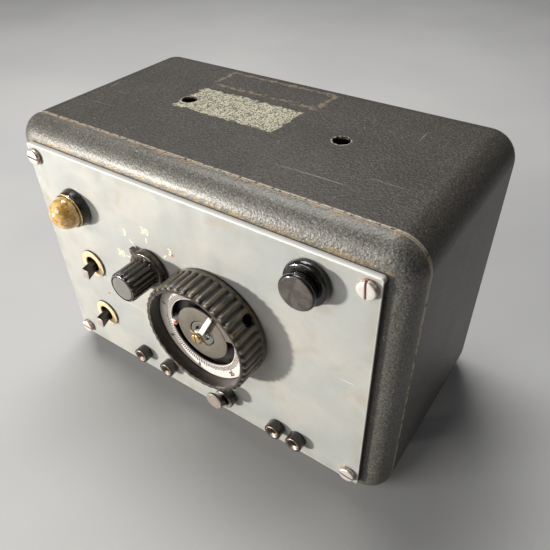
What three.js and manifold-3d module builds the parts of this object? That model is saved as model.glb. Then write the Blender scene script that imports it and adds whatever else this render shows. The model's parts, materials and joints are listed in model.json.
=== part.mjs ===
// Bench pulse timer (function generator) in a steel case, as an assembly of separate pieces.
//
// Frame: millimetres, +Z up, +X to the right of the front panel, -Y out of the front panel.
// The origin is the centre of the footprint at the height the feet stand on.
// Controls are placed by their distance right of and above the centre of the front panel.

import * as THREE from 'three';
import { mergeVertices } from 'three/addons/utils/BufferGeometryUtils.js';
import Module from 'manifold-3d';

const wasm = await Module();
wasm.setup();

// ---- driving dimensions ---------------------------------------------------------------------

const GAP = 0.3;                 // clearance kept between pieces that rest on each other
const SEAT_GAP = 0.2;            // the same under feet, screw heads and the gland's flange
const OVERSHOOT = 5;             // how far a cutting tool reaches past the face it opens

const CASE_WIDTH = 246;
const CASE_HEIGHT = 170;
const CASE_DEPTH = 137;          // from the panel's front face to the rear wall
const CASE_CORNER = 16;          // rounding of the long edges
const CASE_REAR_EDGE = 15;       // rounding of the edges around the rear wall
const SHEET = 1.5;

const BEZEL_ROLL = 12;           // radius of the rolled front edge
const BEZEL_LIP = 8;             // collar that locates the rear case
const PANEL_WIDTH = 220;
const PANEL_HEIGHT = 145;
const PANEL_THICK = 3;
const PANEL_CORNER = 1.5;
const FLANGE_WIDTH = 13;         // part of the bezel hidden behind the panel's edge

const KNOB_REACH = 22;           // how far the tallest knob stands out of the panel
const REAR_REACH = 2;            // how far the rear screws stand out of the rear wall

const FOOT_HEIGHT = 2.5;
const FOOT_RADIUS = 8;
const FOOT_STEM = 3;
const FEET = [
  { name: 'front_left', x: -92, y: 32 },
  { name: 'front_right', x: 92, y: 32 },
  { name: 'rear_left', x: -92, y: 108 },
  { name: 'rear_right', x: 92, y: 108 },
];

const PANEL_Y = -(CASE_DEPTH + REAR_REACH - KNOB_REACH) / 2;
const CENTRE_Z = FOOT_HEIGHT + SEAT_GAP + CASE_HEIGHT / 2;
const PANEL_BACK = PANEL_THICK;
const BEZEL_FRONT = PANEL_BACK + GAP;
const SEAM = BEZEL_FRONT + BEZEL_ROLL;

const SCREW_X = 103.9;
const SCREW_Z = 65.6;
const SCREW_HEAD = { radius: 4.7, height: 2.8 };
const SCREW_SHANK = 2;
const PANEL_SCREWS = [
  { name: 'top_left', x: -SCREW_X, z: SCREW_Z, slot: 175 },
  { name: 'top_right', x: SCREW_X, z: SCREW_Z, slot: 94 },
  { name: 'bottom_left', x: -SCREW_X, z: -SCREW_Z, slot: 178 },
  { name: 'bottom_right', x: SCREW_X, z: -SCREW_Z, slot: 175 },
];
const REAR_SCREW_X = 70;
const REAR_HEAD = { radius: 4, height: 1.8 };
const HANDLE_HOLE = { spread: 50, behindPanel: 72, radius: 4.7 };

const LAMP = { x: -78.3, z: 41 };
const LAMP_BARREL = 9;
const LAMP_BORE = 8.2;
const LENS_RADIUS = 9.6;
const LENS_CENTRE = -7.3;
const LENS_WALL = 1.2;
const COLLAR_RADIUS = 11.65;

const FUSE = { x: 76.4, z: 56.9 };
const FUSE_BARREL = 7.6;
const FUSE_BORE = 6.5;
const FUSE_STEM = 6.1;
const FUSE_BOTTOM = 46;

const DIAL = { x: 19.4, z: 3 };
const RANGE = { x: -24.2, z: 20.5 };
const RANGE_SHAFT = 3;
const RANGE_GRIP = 8.9;
const RANGE_ARROW = 135;         // degrees, where the skirt's pointer aims at rest

const TOGGLES = [
  { name: 'upper', x: -77.2, z: 0.7 },
  { name: 'lower', x: -77.3, z: -40 },
];
const TOGGLE_TILT = 20;          // degrees the levers point below level
const TOGGLE_BUSH = 6;
const TOGGLE_BORE = 5.1;
const TOGGLE_PIVOT = 2;
const TOGGLE_LENGTH = 11.9;
const TOGGLE_WIDTH = 5.4;
const TOGGLE_BLOCK = { width: 15, depth: 20, height: 24 };

const RELEASE = { x: 22.6, z: -55.8 };
const RELEASE_TILT = 54;         // degrees the release lever points above level
const RELEASE_BUSH = 5.4;
const RELEASE_BORE = 3.9;
const RELEASE_TUBE_END = 9;
const RELEASE_PIVOT = -6.2;
const RELEASE_ARM = 8.9;
const RELEASE_BLOCK = { width: 13, depth: 18, height: 20 };

const SOCKETS = [
  { name: 'left_outer', x: -45.8, z: -58.6 },
  { name: 'left_inner', x: -23.6, z: -58.4 },
  { name: 'right_inner', x: 57.8, z: -59.5 },
  { name: 'right_outer', x: 71.8, z: -60 },
];
const SOCKET_BARREL = 5.2;
const SOCKET_BORE = 2.05;
const SOCKET_PROUD = 6;
const SOCKET_NECK = 4;
const SOCKET_TUBE = 3;

const DIAL_RADIUS = 33.5;
const DIAL_FRONT = -18.6;
const DIAL_BACK = -1.4;
const DIAL_FLUTES = 42;
const DIAL_WELL = 29.9;          // radius of the recess that holds the scale
const DIAL_FLOOR = -6.8;
const SCALE_PLANE = -11.5;
const SCALE_THICK = 1;
const SCALE_STEP = SCALE_PLANE + SCALE_THICK + GAP;
const SLOT_OUTER = 21.4;
const SLOT_INNER = 16.3;
const BRIDGE = { from: 12, to: 62 };       // degrees, the solid stretch between the slot's ends
const MARKER_ANGLE = 184;
const POINTER_ANGLE = 61;
const SPINDLE = 1.6;
const DIAL_SHAFT = 4;
const HUB = 7.9;                 // radius of the centre plate's bore
const SET_SCREW = { y: -4.6, angle: 35, radius: 1.8 };

const GLAND = { x: 78, z: -52, bore: 4.2 };
const GLAND_NECK = 7;

const SHELF_Z = -76;
const TRAY_WIDTH = 190;
const TRAY_DEPTH = 96;
const CHASSIS_FRONT = SEAM + BEZEL_LIP + GAP;
const ON_SHELF = SHELF_Z + SHEET / 2 + GAP;
const TRANSFORMER = { x: 52, y: 84, width: 58, depth: 26, height: 48 };
const TRANSFORMER_WINDOW = { x: 14.5, width: 9, height: 28 };
const COIL_LENGTH = 44;
const RELAY = { x: -62, y: 80, width: 24, depth: 40, height: 26 };
const CAPACITOR = { x: -20, radius: 11, front: 58, back: 108 };
const TERMINALS = { y: 118, width: 60, depth: 14, posts: [-24, -12, 0, 12, 24] };

// ---- geometry helpers -------------------------------------------------------------------------

// One closed solid from a three.js geometry: shared vertices merged, slivers dropped, faces out.
function solid(geometry) {
  const plain = new THREE.BufferGeometry();
  plain.setAttribute('position', geometry.getAttribute('position').clone());
  if (geometry.index) plain.setIndex(geometry.index.clone());
  const merged = mergeVertices(plain, 1e-4);
  const position = merged.getAttribute('position');
  const source = merged.index.array;
  const faces = [];
  const a = new THREE.Vector3();
  const b = new THREE.Vector3();
  const c = new THREE.Vector3();
  let volume = 0;
  for (let i = 0; i < source.length; i += 3) {
    const [p, q, r] = [source[i], source[i + 1], source[i + 2]];
    if (p === q || q === r || r === p) continue;
    faces.push(p, q, r);
    a.fromBufferAttribute(position, p);
    b.fromBufferAttribute(position, q);
    c.fromBufferAttribute(position, r);
    volume += a.dot(b.cross(c));
  }
  if (volume < 0) faces.reverse();
  return new wasm.Manifold(new wasm.Mesh({
    numProp: 3,
    vertProperties: new Float32Array(position.array),
    triVerts: new Uint32Array(faces),
  }));
}

function geometryOf(manifold) {
  const mesh = manifold.getMesh();
  const geometry = new THREE.BufferGeometry();
  geometry.setAttribute('position', new THREE.BufferAttribute(mesh.vertProperties, 3));
  geometry.setIndex(new THREE.BufferAttribute(mesh.triVerts, 1));
  geometry.computeVertexNormals();
  return geometry;
}

const union = (...pieces) => pieces.reduce((whole, piece) => whole.add(piece));
const cut = (piece, ...tools) => tools.reduce((rest, tool) => rest.subtract(tool), piece);

function box(width, depth, height, x, y, z) {
  return solid(new THREE.BoxGeometry(width, depth, height).translate(x, y, z));
}

// A solid turned about an axis along Y. Profile points are [radius, y]; open ends close on the axis.
function turned(profile, x, z, sides = 20) {
  const points = profile.map(([radius, y]) => new THREE.Vector2(radius, y));
  const onAxis = points[0].x === 0 && points[points.length - 1].x === 0;
  if (!onAxis) points.push(points[0].clone());
  return solid(new THREE.LatheGeometry(points, sides).translate(x, 0, z));
}

const rod = (radius, front, back, x, z, sides = 20) =>
  turned([[0, front], [radius, front], [radius, back], [0, back]], x, z, sides);

const tube = (outer, inner, front, back, x, z, sides = 20) =>
  turned([[inner, front], [outer, front], [outer, back], [inner, back]], x, z, sides);

// A flat shape in the panel's plane, reaching from front to back along Y.
function slab(shape, front, back, x = 0, z = 0) {
  const geometry = new THREE.ExtrudeGeometry(shape, {
    depth: back - front, bevelEnabled: false, curveSegments: 10,
  });
  return solid(geometry.rotateX(Math.PI / 2).translate(x, back, z));
}

function roundedRect(halfWidth, halfHeight, radius, steps) {
  const points = [];
  const centres = [[1, 1, 0], [-1, 1, 90], [-1, -1, 180], [1, -1, 270]];
  for (const [sx, sz, start] of centres) {
    for (let i = 0; i <= steps; i += 1) {
      const angle = THREE.MathUtils.degToRad(start + (90 * i) / steps);
      points.push([
        sx * (halfWidth - radius) + radius * Math.cos(angle),
        sz * (halfHeight - radius) + radius * Math.sin(angle),
      ]);
    }
  }
  return points;
}

const CORNER_STEPS = 6;

// A solid through rounded rectangles that share the panel's centre. Each station is
// { y, inset }: how far along the case it lies and how far it is drawn in from the case's outline.
function loft(stations) {
  const ringSize = 4 * (CORNER_STEPS + 1);
  const vertices = [];
  for (const { y, inset } of stations) {
    const radius = Math.max(CASE_CORNER - inset, 0.6);
    const outline = roundedRect(CASE_WIDTH / 2 - inset, CASE_HEIGHT / 2 - inset, radius, CORNER_STEPS);
    for (const [x, z] of outline) vertices.push(x, y, z);
  }
  const faces = [];
  for (let s = 0; s + 1 < stations.length; s += 1) {
    for (let i = 0; i < ringSize; i += 1) {
      const next = (i + 1) % ringSize;
      const [p, q] = [s * ringSize + i, s * ringSize + next];
      faces.push(p, q, p + ringSize, q, q + ringSize, p + ringSize);
    }
  }
  for (const [start, flip] of [[0, true], [(stations.length - 1) * ringSize, false]]) {
    for (let i = 1; i + 1 < ringSize; i += 1) {
      if (flip) faces.push(start, start + i + 1, start + i);
      else faces.push(start, start + i, start + i + 1);
    }
  }
  const geometry = new THREE.BufferGeometry();
  geometry.setAttribute('position', new THREE.Float32BufferAttribute(vertices, 3));
  geometry.setIndex(faces);
  return solid(geometry);
}

// Quarter-round stations: the outline draws in by radius while y moves by radius.
function quarterRound(startY, direction, radius, steps, extraInset = 0) {
  const stations = [];
  for (let i = 0; i <= steps; i += 1) {
    const angle = (Math.PI / 2) * (i / steps);
    stations.push({
      y: startY + direction * radius * Math.sin(angle),
      inset: extraInset + radius * (1 - Math.cos(angle)),
    });
  }
  return stations;
}

// A gear-like outline: shallow round flutes around a circle.
function flutedOutline(radius, depth, count, stepsPerFlute = 3) {
  const shape = new THREE.Shape();
  const total = count * stepsPerFlute;
  for (let i = 0; i < total; i += 1) {
    const phase = (i % stepsPerFlute) / stepsPerFlute;
    const reach = radius - depth * Math.sin(Math.PI * phase);
    const angle = (2 * Math.PI * i) / total;
    const [x, z] = [reach * Math.cos(angle), reach * Math.sin(angle)];
    if (i === 0) shape.moveTo(x, z);
    else shape.lineTo(x, z);
  }
  return shape;
}

function rectangle(width, height, x = 0, z = 0) {
  const shape = new THREE.Shape();
  shape.moveTo(x - width / 2, z - height / 2);
  shape.lineTo(x + width / 2, z - height / 2);
  shape.lineTo(x + width / 2, z + height / 2);
  shape.lineTo(x - width / 2, z + height / 2);
  return shape;
}

// An arc-shaped strip between two radii, angles in degrees anticlockwise from +X.
function arcStrip(inner, outer, fromAngle, toAngle) {
  const [from, to] = [fromAngle, toAngle].map(THREE.MathUtils.degToRad);
  const shape = new THREE.Shape();
  shape.absarc(0, 0, outer, from, to, false);
  shape.absarc(0, 0, inner, to, from, true);
  return shape;
}

const moved = (manifold, x, y, z) => solid(geometryOf(manifold).translate(x, y, z));

const turnedAboutX = (manifold, degrees) =>
  solid(geometryOf(manifold).rotateX(THREE.MathUtils.degToRad(degrees)));

// Turns a shape drawn at the origin in the panel's plane, anticlockwise as seen from the front.
const turnedInPanel = (manifold, degrees) =>
  solid(geometryOf(manifold).rotateY(-THREE.MathUtils.degToRad(degrees)));

// ---- materials ----------------------------------------------------------------------------------

const finish = (color, roughness, metalness) => ({ color, roughness, metalness });
const HAMMERTONE = finish(0x5e5c57, 0.45, 0.3);
const HAMMERTONE_LIGHT = finish(0x72716c, 0.4, 0.3);
const PANEL_GREY = finish(0xb4b6b3, 0.5, 0.1);
const BAKELITE = finish(0x1c1a18, 0.35, 0);
const NICKEL = finish(0xc9c0b4, 0.35, 1);
const STEEL = finish(0x8a8882, 0.4, 1);
const BRASS = finish(0xb08d4f, 0.35, 1);
const AMBER = finish(0xa8742a, 0.15, 0);
const GLASS = finish(0xdde4e2, 0.05, 0);
const SCALE_WHITE = finish(0xe6ded6, 0.5, 0);
const DISC_GREY = finish(0x7d766c, 0.5, 0.2);
const MARKER_WHITE = finish(0xf4efe6, 0.5, 0);
const WASHER_BEIGE = finish(0xd2b48c, 0.6, 0);
const RUBBER = finish(0x1f1f1f, 0.8, 0);
const ALUMINIUM = finish(0xb9bbbc, 0.4, 1);
const LAMINATE = finish(0x6b4a2a, 0.6, 0);
const COPPER_TAPE = finish(0x9a7b3c, 0.5, 0);

const instrument = new THREE.Group();
const body = new THREE.Group();
body.position.set(0, PANEL_Y, CENTRE_Z);
instrument.add(body);

function add(name, manifold, material) {
  const mesh = new THREE.Mesh(geometryOf(manifold), new THREE.MeshStandardMaterial(material));
  mesh.name = name;
  body.add(mesh);
}

// ---- case, bezel and panel ----------------------------------------------------------------------

const rearHole = (radius, x, z) =>
  rod(radius, CASE_DEPTH - 2 * OVERSHOOT, CASE_DEPTH + 2 * OVERSHOOT, x, z);

// A cutting tool along Z through the wall at height z.
const uprightHole = (radius, x, y, z, sides) => upright([
  [0, z - OVERSHOOT], [radius, z - OVERSHOOT], [radius, z + OVERSHOOT], [0, z + OVERSHOOT],
], x, y, sides);

function rearCase() {
  const outer = loft([
    { y: SEAM + GAP, inset: 0 },
    ...quarterRound(CASE_DEPTH - CASE_REAR_EDGE, 1, CASE_REAR_EDGE, 5),
  ]);
  const innerEdge = CASE_REAR_EDGE - SHEET;
  const inner = loft([
    { y: SEAM - OVERSHOOT, inset: SHEET },
    ...quarterRound(CASE_DEPTH - SHEET - innerEdge, 1, innerEdge, 4, SHEET),
  ]);
  const holes = [];
  for (const side of [-1, 1]) {
    const { spread, behindPanel, radius } = HANDLE_HOLE;
    holes.push(uprightHole(radius, side * spread, behindPanel, CASE_HEIGHT / 2, 24));
    holes.push(rearHole(SCREW_SHANK + GAP, side * REAR_SCREW_X, 0));
  }
  for (const { x, y } of FEET) holes.push(uprightHole(FOOT_STEM + GAP, x, y, -CASE_HEIGHT / 2, 12));
  holes.push(rearHole(GLAND_NECK + GAP, GLAND.x, GLAND.z));
  return cut(outer, inner, ...holes);
}

function frontBezel() {
  const shell = loft([{ y: SEAM, inset: 0 }, ...quarterRound(SEAM, -1, BEZEL_ROLL, 6).slice(1)].reverse());
  const lip = loft([
    { y: SEAM - OVERSHOOT, inset: SHEET + GAP },
    { y: SEAM + BEZEL_LIP, inset: SHEET + GAP },
  ]);
  const innerRoll = BEZEL_ROLL - SHEET;
  const hollow = loft([
    ...quarterRound(SEAM, -1, innerRoll, 6, SHEET).reverse().slice(0, 4),
    { y: SEAM - 6, inset: 2 * SHEET + GAP },
    { y: SEAM + BEZEL_LIP + 2, inset: 2 * SHEET + GAP },
  ]);
  const window = slab(
    rectangle(PANEL_WIDTH - 2 * FLANGE_WIDTH, PANEL_HEIGHT - 2 * FLANGE_WIDTH),
    BEZEL_FRONT - OVERSHOOT, SEAM - OVERSHOOT);
  const relief = ({ x, z }, radius) => rod(radius + 1, -OVERSHOOT, SEAM - OVERSHOOT, x, z, 16);
  const reliefs = [
    relief(FUSE, FUSE_BARREL),
    relief(RELEASE, RELEASE_BUSH),
    ...SOCKETS.map((socket) => relief(socket, SOCKET_NECK)),
  ];
  return cut(union(shell, lip), hollow, window, ...screwHoles(), ...reliefs);
}

const screwHoles = () => PANEL_SCREWS.map(
  ({ x, z }) => rod(SCREW_SHANK + GAP, -OVERSHOOT, SEAM - OVERSHOOT, x, z, 10));

function frontPanel() {
  const outline = roundedRect(PANEL_WIDTH / 2, PANEL_HEIGHT / 2, PANEL_CORNER, 3);
  const shape = new THREE.Shape(outline.map(([x, z]) => new THREE.Vector2(x, z)));
  const through = ({ x, z }, radius) => rod(radius + GAP, -OVERSHOOT, PANEL_BACK + OVERSHOOT, x, z, 16);
  const holes = [
    ...screwHoles(),
    through(LAMP, LAMP_BARREL),
    through(FUSE, FUSE_BARREL),
    through(DIAL, DIAL_SHAFT),
    through(RANGE, RANGE_SHAFT),
    ...TOGGLES.map((toggle) => through(toggle, TOGGLE_BUSH)),
    through(RELEASE, RELEASE_BUSH),
    ...SOCKETS.map((socket) => through(socket, SOCKET_NECK)),
  ];
  return cut(slab(shape, 0, PANEL_BACK), ...holes);
}

// A slotted cheese-head screw whose head rests at y = seat; slotAngle is the slot's direction in
// the panel's plane.
function cheeseHead({ x, z, slotAngle, seat, head, shankRadius, shankEnd }) {
  const top = seat - head.height;
  const chamfer = 0.5;
  const screw = turned([
    [0, top], [head.radius - chamfer, top], [head.radius, top + chamfer], [head.radius, seat],
    [shankRadius, seat], [shankRadius, shankEnd], [0, shankEnd],
  ], x, z, 14);
  const slotWidth = head.radius * 0.24;
  const slotFloor = top + head.height * 0.45;
  const slot = slab(rectangle(2 * head.radius + 1, slotWidth), top - 1, slotFloor);
  return cut(screw, moved(turnedInPanel(slot, slotAngle), x, 0, z));
}

// A turned solid about a vertical axis; profile points are [radius, z] in the panel's frame.
function upright(profile, x, y, sides = 12) {
  const points = profile.map(([radius, z]) => new THREE.Vector2(radius, z));
  const geometry = new THREE.LatheGeometry(points, sides).rotateX(Math.PI / 2);
  return solid(geometry.translate(x, y, 0));
}

function foot(x, y) {
  const base = -CENTRE_Z;
  const top = base + FOOT_HEIGHT;
  const inside = -CASE_HEIGHT / 2 + SHEET;
  return upright([
    [0, base], [FOOT_RADIUS - 0.6, base], [FOOT_RADIUS, base + 0.6], [FOOT_RADIUS, top],
    [FOOT_STEM, top], [FOOT_STEM, inside + GAP], [FOOT_STEM + 1.6, inside + GAP],
    [FOOT_STEM, inside + 3.5], [0, inside + 3.5],
  ], x, y);
}

function gland() {
  const outside = CASE_DEPTH + SEAT_GAP;
  const inside = CASE_DEPTH - SHEET - GAP;
  return turned([
    [GLAND.bore, inside - 4], [GLAND_NECK + 1.5, inside - 4], [GLAND_NECK + 1.5, inside],
    [GLAND_NECK, inside], [GLAND_NECK, outside], [GLAND_NECK + 1.5, outside],
    [GLAND_NECK + 1.2, outside + 1.6], [GLAND.bore + 0.8, outside + 1.8], [GLAND.bore, outside + 1],
  ], GLAND.x, GLAND.z, 16);
}

// ---- pilot lamp ---------------------------------------------------------------------------------

const lampCollar = () => turned([
  [LAMP_BORE, -4.8], [9.6, -4.8], [10.4, -4.3], [COLLAR_RADIUS, -GAP], [LAMP_BARREL, -GAP],
  [LAMP_BARREL, 14], [LAMP_BORE, 14],
], LAMP.x, LAMP.z);

const lampRing = () => tube(10.5, 9.85, -6, -5.1, LAMP.x, LAMP.z);

function sphereArc(radius, centre, fromY, toY, steps) {
  const [from, to] = [fromY, toY].map((y) => Math.acos((centre - y) / radius));
  const points = [];
  for (let i = 0; i <= steps; i += 1) {
    const angle = from + ((to - from) * i) / steps;
    points.push([radius * Math.sin(angle), centre - radius * Math.cos(angle)]);
  }
  return points;
}

// A hollow glass dome, open towards the bulb, with a neck that sits in the collar.
function lampLens() {
  const hollow = LENS_RADIUS - LENS_WALL;
  const outer = sphereArc(LENS_RADIUS, LENS_CENTRE, LENS_CENTRE - LENS_RADIUS, -5.1, 7);
  const inner = sphereArc(hollow, LENS_CENTRE, LENS_CENTRE - hollow, -3.6, 6);
  outer[0][0] = 0;
  inner[0][0] = 0;
  const neck = [[7.9, -5.1], [7.9, 4], [6.9, 4]];
  return turned([...outer, ...neck, ...inner.reverse()], LAMP.x, LAMP.z);
}

const lampBulb = () => turned([
  ...sphereArc(4.6, -7, -11.6, -4.4, 5).map(([radius, y], i) => [i === 0 ? 0 : radius, y]),
  [4.2, -2], [4.2, 13], [0, 13],
], LAMP.x, LAMP.z, 14);

const lampHolder = () => turned([
  [4.6, 4.5], [6.6, 4.5], [6.6, 15], [9, 15], [9, 30], [0, 30], [0, 13.5], [4.6, 13.5],
], LAMP.x, LAMP.z, 16);

// ---- fuse holder --------------------------------------------------------------------------------

const fuseBody = () => turned([
  [FUSE_BORE, -4.6], [9.6, -4.6], [10.9, -4], [11.6, -2.8], [COLLAR_RADIUS, -GAP], [FUSE_BARREL, -GAP],
  [FUSE_BARREL, FUSE_BOTTOM + 3], [0, FUSE_BOTTOM + 3], [0, FUSE_BOTTOM], [FUSE_BORE, FUSE_BOTTOM],
], FUSE.x, FUSE.z);

// Mushroom cap on a knurled neck, with a stem that carries the cartridge.
const fuseCap = () => turned([
  [0, -10.9], [6, -10.8], [8.6, -10.4], [9.3, -9.7], [9.2, -8.6], [7.7, -7.4], [7.5, -5],
  [FUSE_STEM, -4.9], [FUSE_STEM, 12], [3.6, 12], [3.6, 2], [0, 2],
], FUSE.x, FUSE.z);

const fuseCartridge = () => turned([
  [0, 2.4], [3.2, 2.4], [3.2, 34], [0, 34],
], FUSE.x, FUSE.z, 12);

// ---- time dial ----------------------------------------------------------------------------------

// The fluted grip ring: a cup with a thick floor, a ledge for the scale and a round front edge.
function dialRing() {
  const skirt = rod(DIAL_RADIUS, DIAL_BACK - 1.6, DIAL_BACK, DIAL.x, DIAL.z, 42);
  const flutes = flutedOutline(DIAL_RADIUS - 0.2, 1, DIAL_FLUTES);
  const grip = slab(flutes, DIAL_FRONT, DIAL_BACK - 1.2, DIAL.x, DIAL.z);
  const rounding = turned([
    [0, DIAL_FRONT - 1], [DIAL_RADIUS - 1.6, DIAL_FRONT - 1], [DIAL_RADIUS - 1.6, DIAL_FRONT],
    [DIAL_RADIUS - 0.7, DIAL_FRONT + 0.5], [DIAL_RADIUS + 0.2, DIAL_FRONT + 2],
    [DIAL_RADIUS + 0.2, DIAL_BACK + 1], [0, DIAL_BACK + 1],
  ], DIAL.x, DIAL.z, 42);
  const well = rod(DIAL_WELL, DIAL_FRONT - OVERSHOOT, SCALE_STEP, DIAL.x, DIAL.z, 42);
  const pocket = rod(SLOT_OUTER + 1.6, DIAL_FRONT - OVERSHOOT, DIAL_FLOOR, DIAL.x, DIAL.z, 42);
  const bore = rod(DIAL_SHAFT + GAP, DIAL_FRONT - OVERSHOOT, OVERSHOOT, DIAL.x, DIAL.z, 16);
  return cut(union(skirt, grip.intersect(rounding)), well, pocket, bore, setScrewHole());
}

// A radial hole or rod through the dial's wall, from fromRadius outwards.
function radialRod(radius, fromRadius, toRadius, sides = 12) {
  const length = toRadius - fromRadius;
  const geometry = new THREE.CylinderGeometry(radius, radius, length, sides);
  geometry.rotateZ(-Math.PI / 2).translate(fromRadius + length / 2, 0, 0);
  geometry.rotateY(-THREE.MathUtils.degToRad(SET_SCREW.angle));
  return solid(geometry.translate(DIAL.x, SET_SCREW.y, DIAL.z));
}

const setScrewHole = () => radialRod(SET_SCREW.radius + GAP, 0, DIAL_RADIUS + OVERSHOOT);
const dialSetScrew = () => radialRod(SET_SCREW.radius, DIAL_SHAFT + GAP, 26);

function dialScale() {
  return tube(DIAL_WELL - GAP, SLOT_OUTER, SCALE_PLANE, SCALE_STEP - GAP, DIAL.x, DIAL.z, 42);
}

// The grey centre plate: a disc with a bridge across the slot and a foot down to the cup's floor.
function dialDisc() {
  const back = SCALE_PLANE + SCALE_THICK;
  const plate = tube(SLOT_INNER, HUB, SCALE_PLANE, back, DIAL.x, DIAL.z, 36);
  const pedestal = tube(13, HUB, back - 0.1, DIAL_FLOOR - GAP, DIAL.x, DIAL.z, 24);
  const bridge = slab(
    arcStrip(SLOT_INNER - 1, SLOT_OUTER - GAP, BRIDGE.from, BRIDGE.to), SCALE_PLANE, back, DIAL.x, DIAL.z);
  return union(plate, pedestal, bridge);
}

const springWasher = () => tube(7.3, 4.6, SCALE_PLANE + 0.2, DIAL_FLOOR - GAP, DIAL.x, DIAL.z, 20);

function settingMarker() {
  const half = 4.5;
  const inner = SLOT_INNER + GAP;
  const outer = SLOT_OUTER + 1.2;
  const hidden = arcStrip(inner, outer, MARKER_ANGLE - half, MARKER_ANGLE + half);
  const shown = arcStrip(inner, SLOT_OUTER - GAP, MARKER_ANGLE - half, MARKER_ANGLE + half);
  return union(
    slab(hidden, SCALE_STEP + 0.6, DIAL_FLOOR - GAP, DIAL.x, DIAL.z),
    slab(shown, SCALE_PLANE - 0.5, SCALE_STEP + 1, DIAL.x, DIAL.z));
}

// White hand with a hub and two short wings, on the spindle inside the dial's shaft.
function dialPointer() {
  const front = -14.4;
  const hand = slab(rectangle(20, 3.1, 10, 0), front, front + 0.8);
  const hub = slab(rectangle(7, 7), front, front + 1.2);
  const centre = turned([[0, front], [3.6, front], [3.6, -12.2], [SPINDLE, -12.2],
    [SPINDLE, 18], [0, 18]], 0, 0, 20);
  const wings = slab(rectangle(1.4, 11), front - 0.6, front + 0.4);
  return moved(turnedInPanel(union(hand, hub, centre, wings), POINTER_ANGLE), DIAL.x, 0, DIAL.z);
}

const hubScrew = () => cheeseHead({
  ...DIAL, slotAngle: 100, seat: -15.3,
  head: { radius: 3.3, height: 1.6 }, shankRadius: SPINDLE, shankEnd: -15.2,
});

const dialShaft = () => tube(DIAL_SHAFT, SPINDLE + GAP, DIAL_FLOOR - 3, 13, DIAL.x, DIAL.z, 16);

// ---- range knob ---------------------------------------------------------------------------------

function rangeKnob() {
  const skirt = turned([
    [0, -4.9], [10.6, -4.9], [11.8, -4.3], [12.1, -3.4], [12.1, -1], [0, -1],
  ], RANGE.x, RANGE.z);
  const arrow = new THREE.Shape();
  arrow.moveTo(8, -4.4);
  arrow.lineTo(15.2, 0);
  arrow.lineTo(8, 4.4);
  const nose = moved(turnedInPanel(slab(arrow, -4, -1), RANGE_ARROW), RANGE.x, 0, RANGE.z);
  const front = -KNOB_REACH;
  const grip = slab(flutedOutline(RANGE_GRIP, 0.6, 16, 4), front, -4, RANGE.x, RANGE.z);
  const edge = turned([
    [0, front - 0.01], [RANGE_GRIP - 1, front - 0.01], [RANGE_GRIP - 0.2, front + 0.8],
    [RANGE_GRIP + 0.2, front + 3], [RANGE_GRIP + 0.2, -3.5], [0, -3.5],
  ], RANGE.x, RANGE.z);
  const groove = tube(RANGE_GRIP - 1.5, RANGE_GRIP - 2, front - 1, front + 0.4, RANGE.x, RANGE.z, 20);
  const bore = rod(RANGE_SHAFT + GAP, -14, OVERSHOOT, RANGE.x, RANGE.z, 12);
  return cut(union(skirt, nose, grip.intersect(edge)), groove, bore);
}

const rangeShaft = () => rod(RANGE_SHAFT, -13.5, 12, RANGE.x, RANGE.z, 12);

// ---- toggle switches and release lever ----------------------------------------------------------

const toggleWasher = ({ x, z }) => turned([
  [TOGGLE_BORE, -1.5], [8.9, -1.5], [9.4, -1], [9.4, -GAP], [TOGGLE_BORE, -GAP],
], x, z);

// Bushing through the panel with the switch block behind it; the lever swings in its mouth.
function toggleBody({ x, z }) {
  const { width, depth, height } = TOGGLE_BLOCK;
  const blockFront = PANEL_BACK + 3;
  const bush = tube(TOGGLE_BUSH, TOGGLE_BORE, 0, blockFront + 1, x, z, 20);
  const block = box(width, depth, height, x, blockFront + depth / 2, z);
  const room = box(TOGGLE_WIDTH + 0.8, 8, 10, x, blockFront + 2, z);
  return cut(union(bush, block), room);
}

// A square lever, drawn level and then tilted about its pivot.
function toggleLever({ x, z }) {
  const shape = new THREE.Shape();
  shape.moveTo(-3, -2);
  shape.lineTo(TOGGLE_LENGTH - 0.6, -2.9);
  shape.lineTo(TOGGLE_LENGTH, -2.4);
  shape.lineTo(TOGGLE_LENGTH, 2.4);
  shape.lineTo(TOGGLE_LENGTH - 0.6, 2.9);
  shape.lineTo(-3, 2);
  const geometry = new THREE.ExtrudeGeometry(shape, { depth: TOGGLE_WIDTH, bevelEnabled: false });
  geometry.translate(0, 0, -TOGGLE_WIDTH / 2).rotateY(-Math.PI / 2).rotateX(Math.PI / 2);
  geometry.rotateX(THREE.MathUtils.degToRad(TOGGLE_TILT));
  return solid(geometry.translate(x, TOGGLE_PIVOT, z));
}

const releaseCollar = () => turned([
  [RELEASE_BORE, -5.4], [5.9, -5.4], [6.5, -4.9], [6.5, -GAP], [RELEASE_BUSH, -GAP],
  [RELEASE_BUSH, RELEASE_TUBE_END], [RELEASE_BORE, RELEASE_TUBE_END],
], RELEASE.x, RELEASE.z, 20);

function releaseSwitch() {
  const { width, depth, height } = RELEASE_BLOCK;
  return box(width, depth, height, RELEASE.x, RELEASE_TUBE_END + GAP + depth / 2, RELEASE.z);
}

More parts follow.
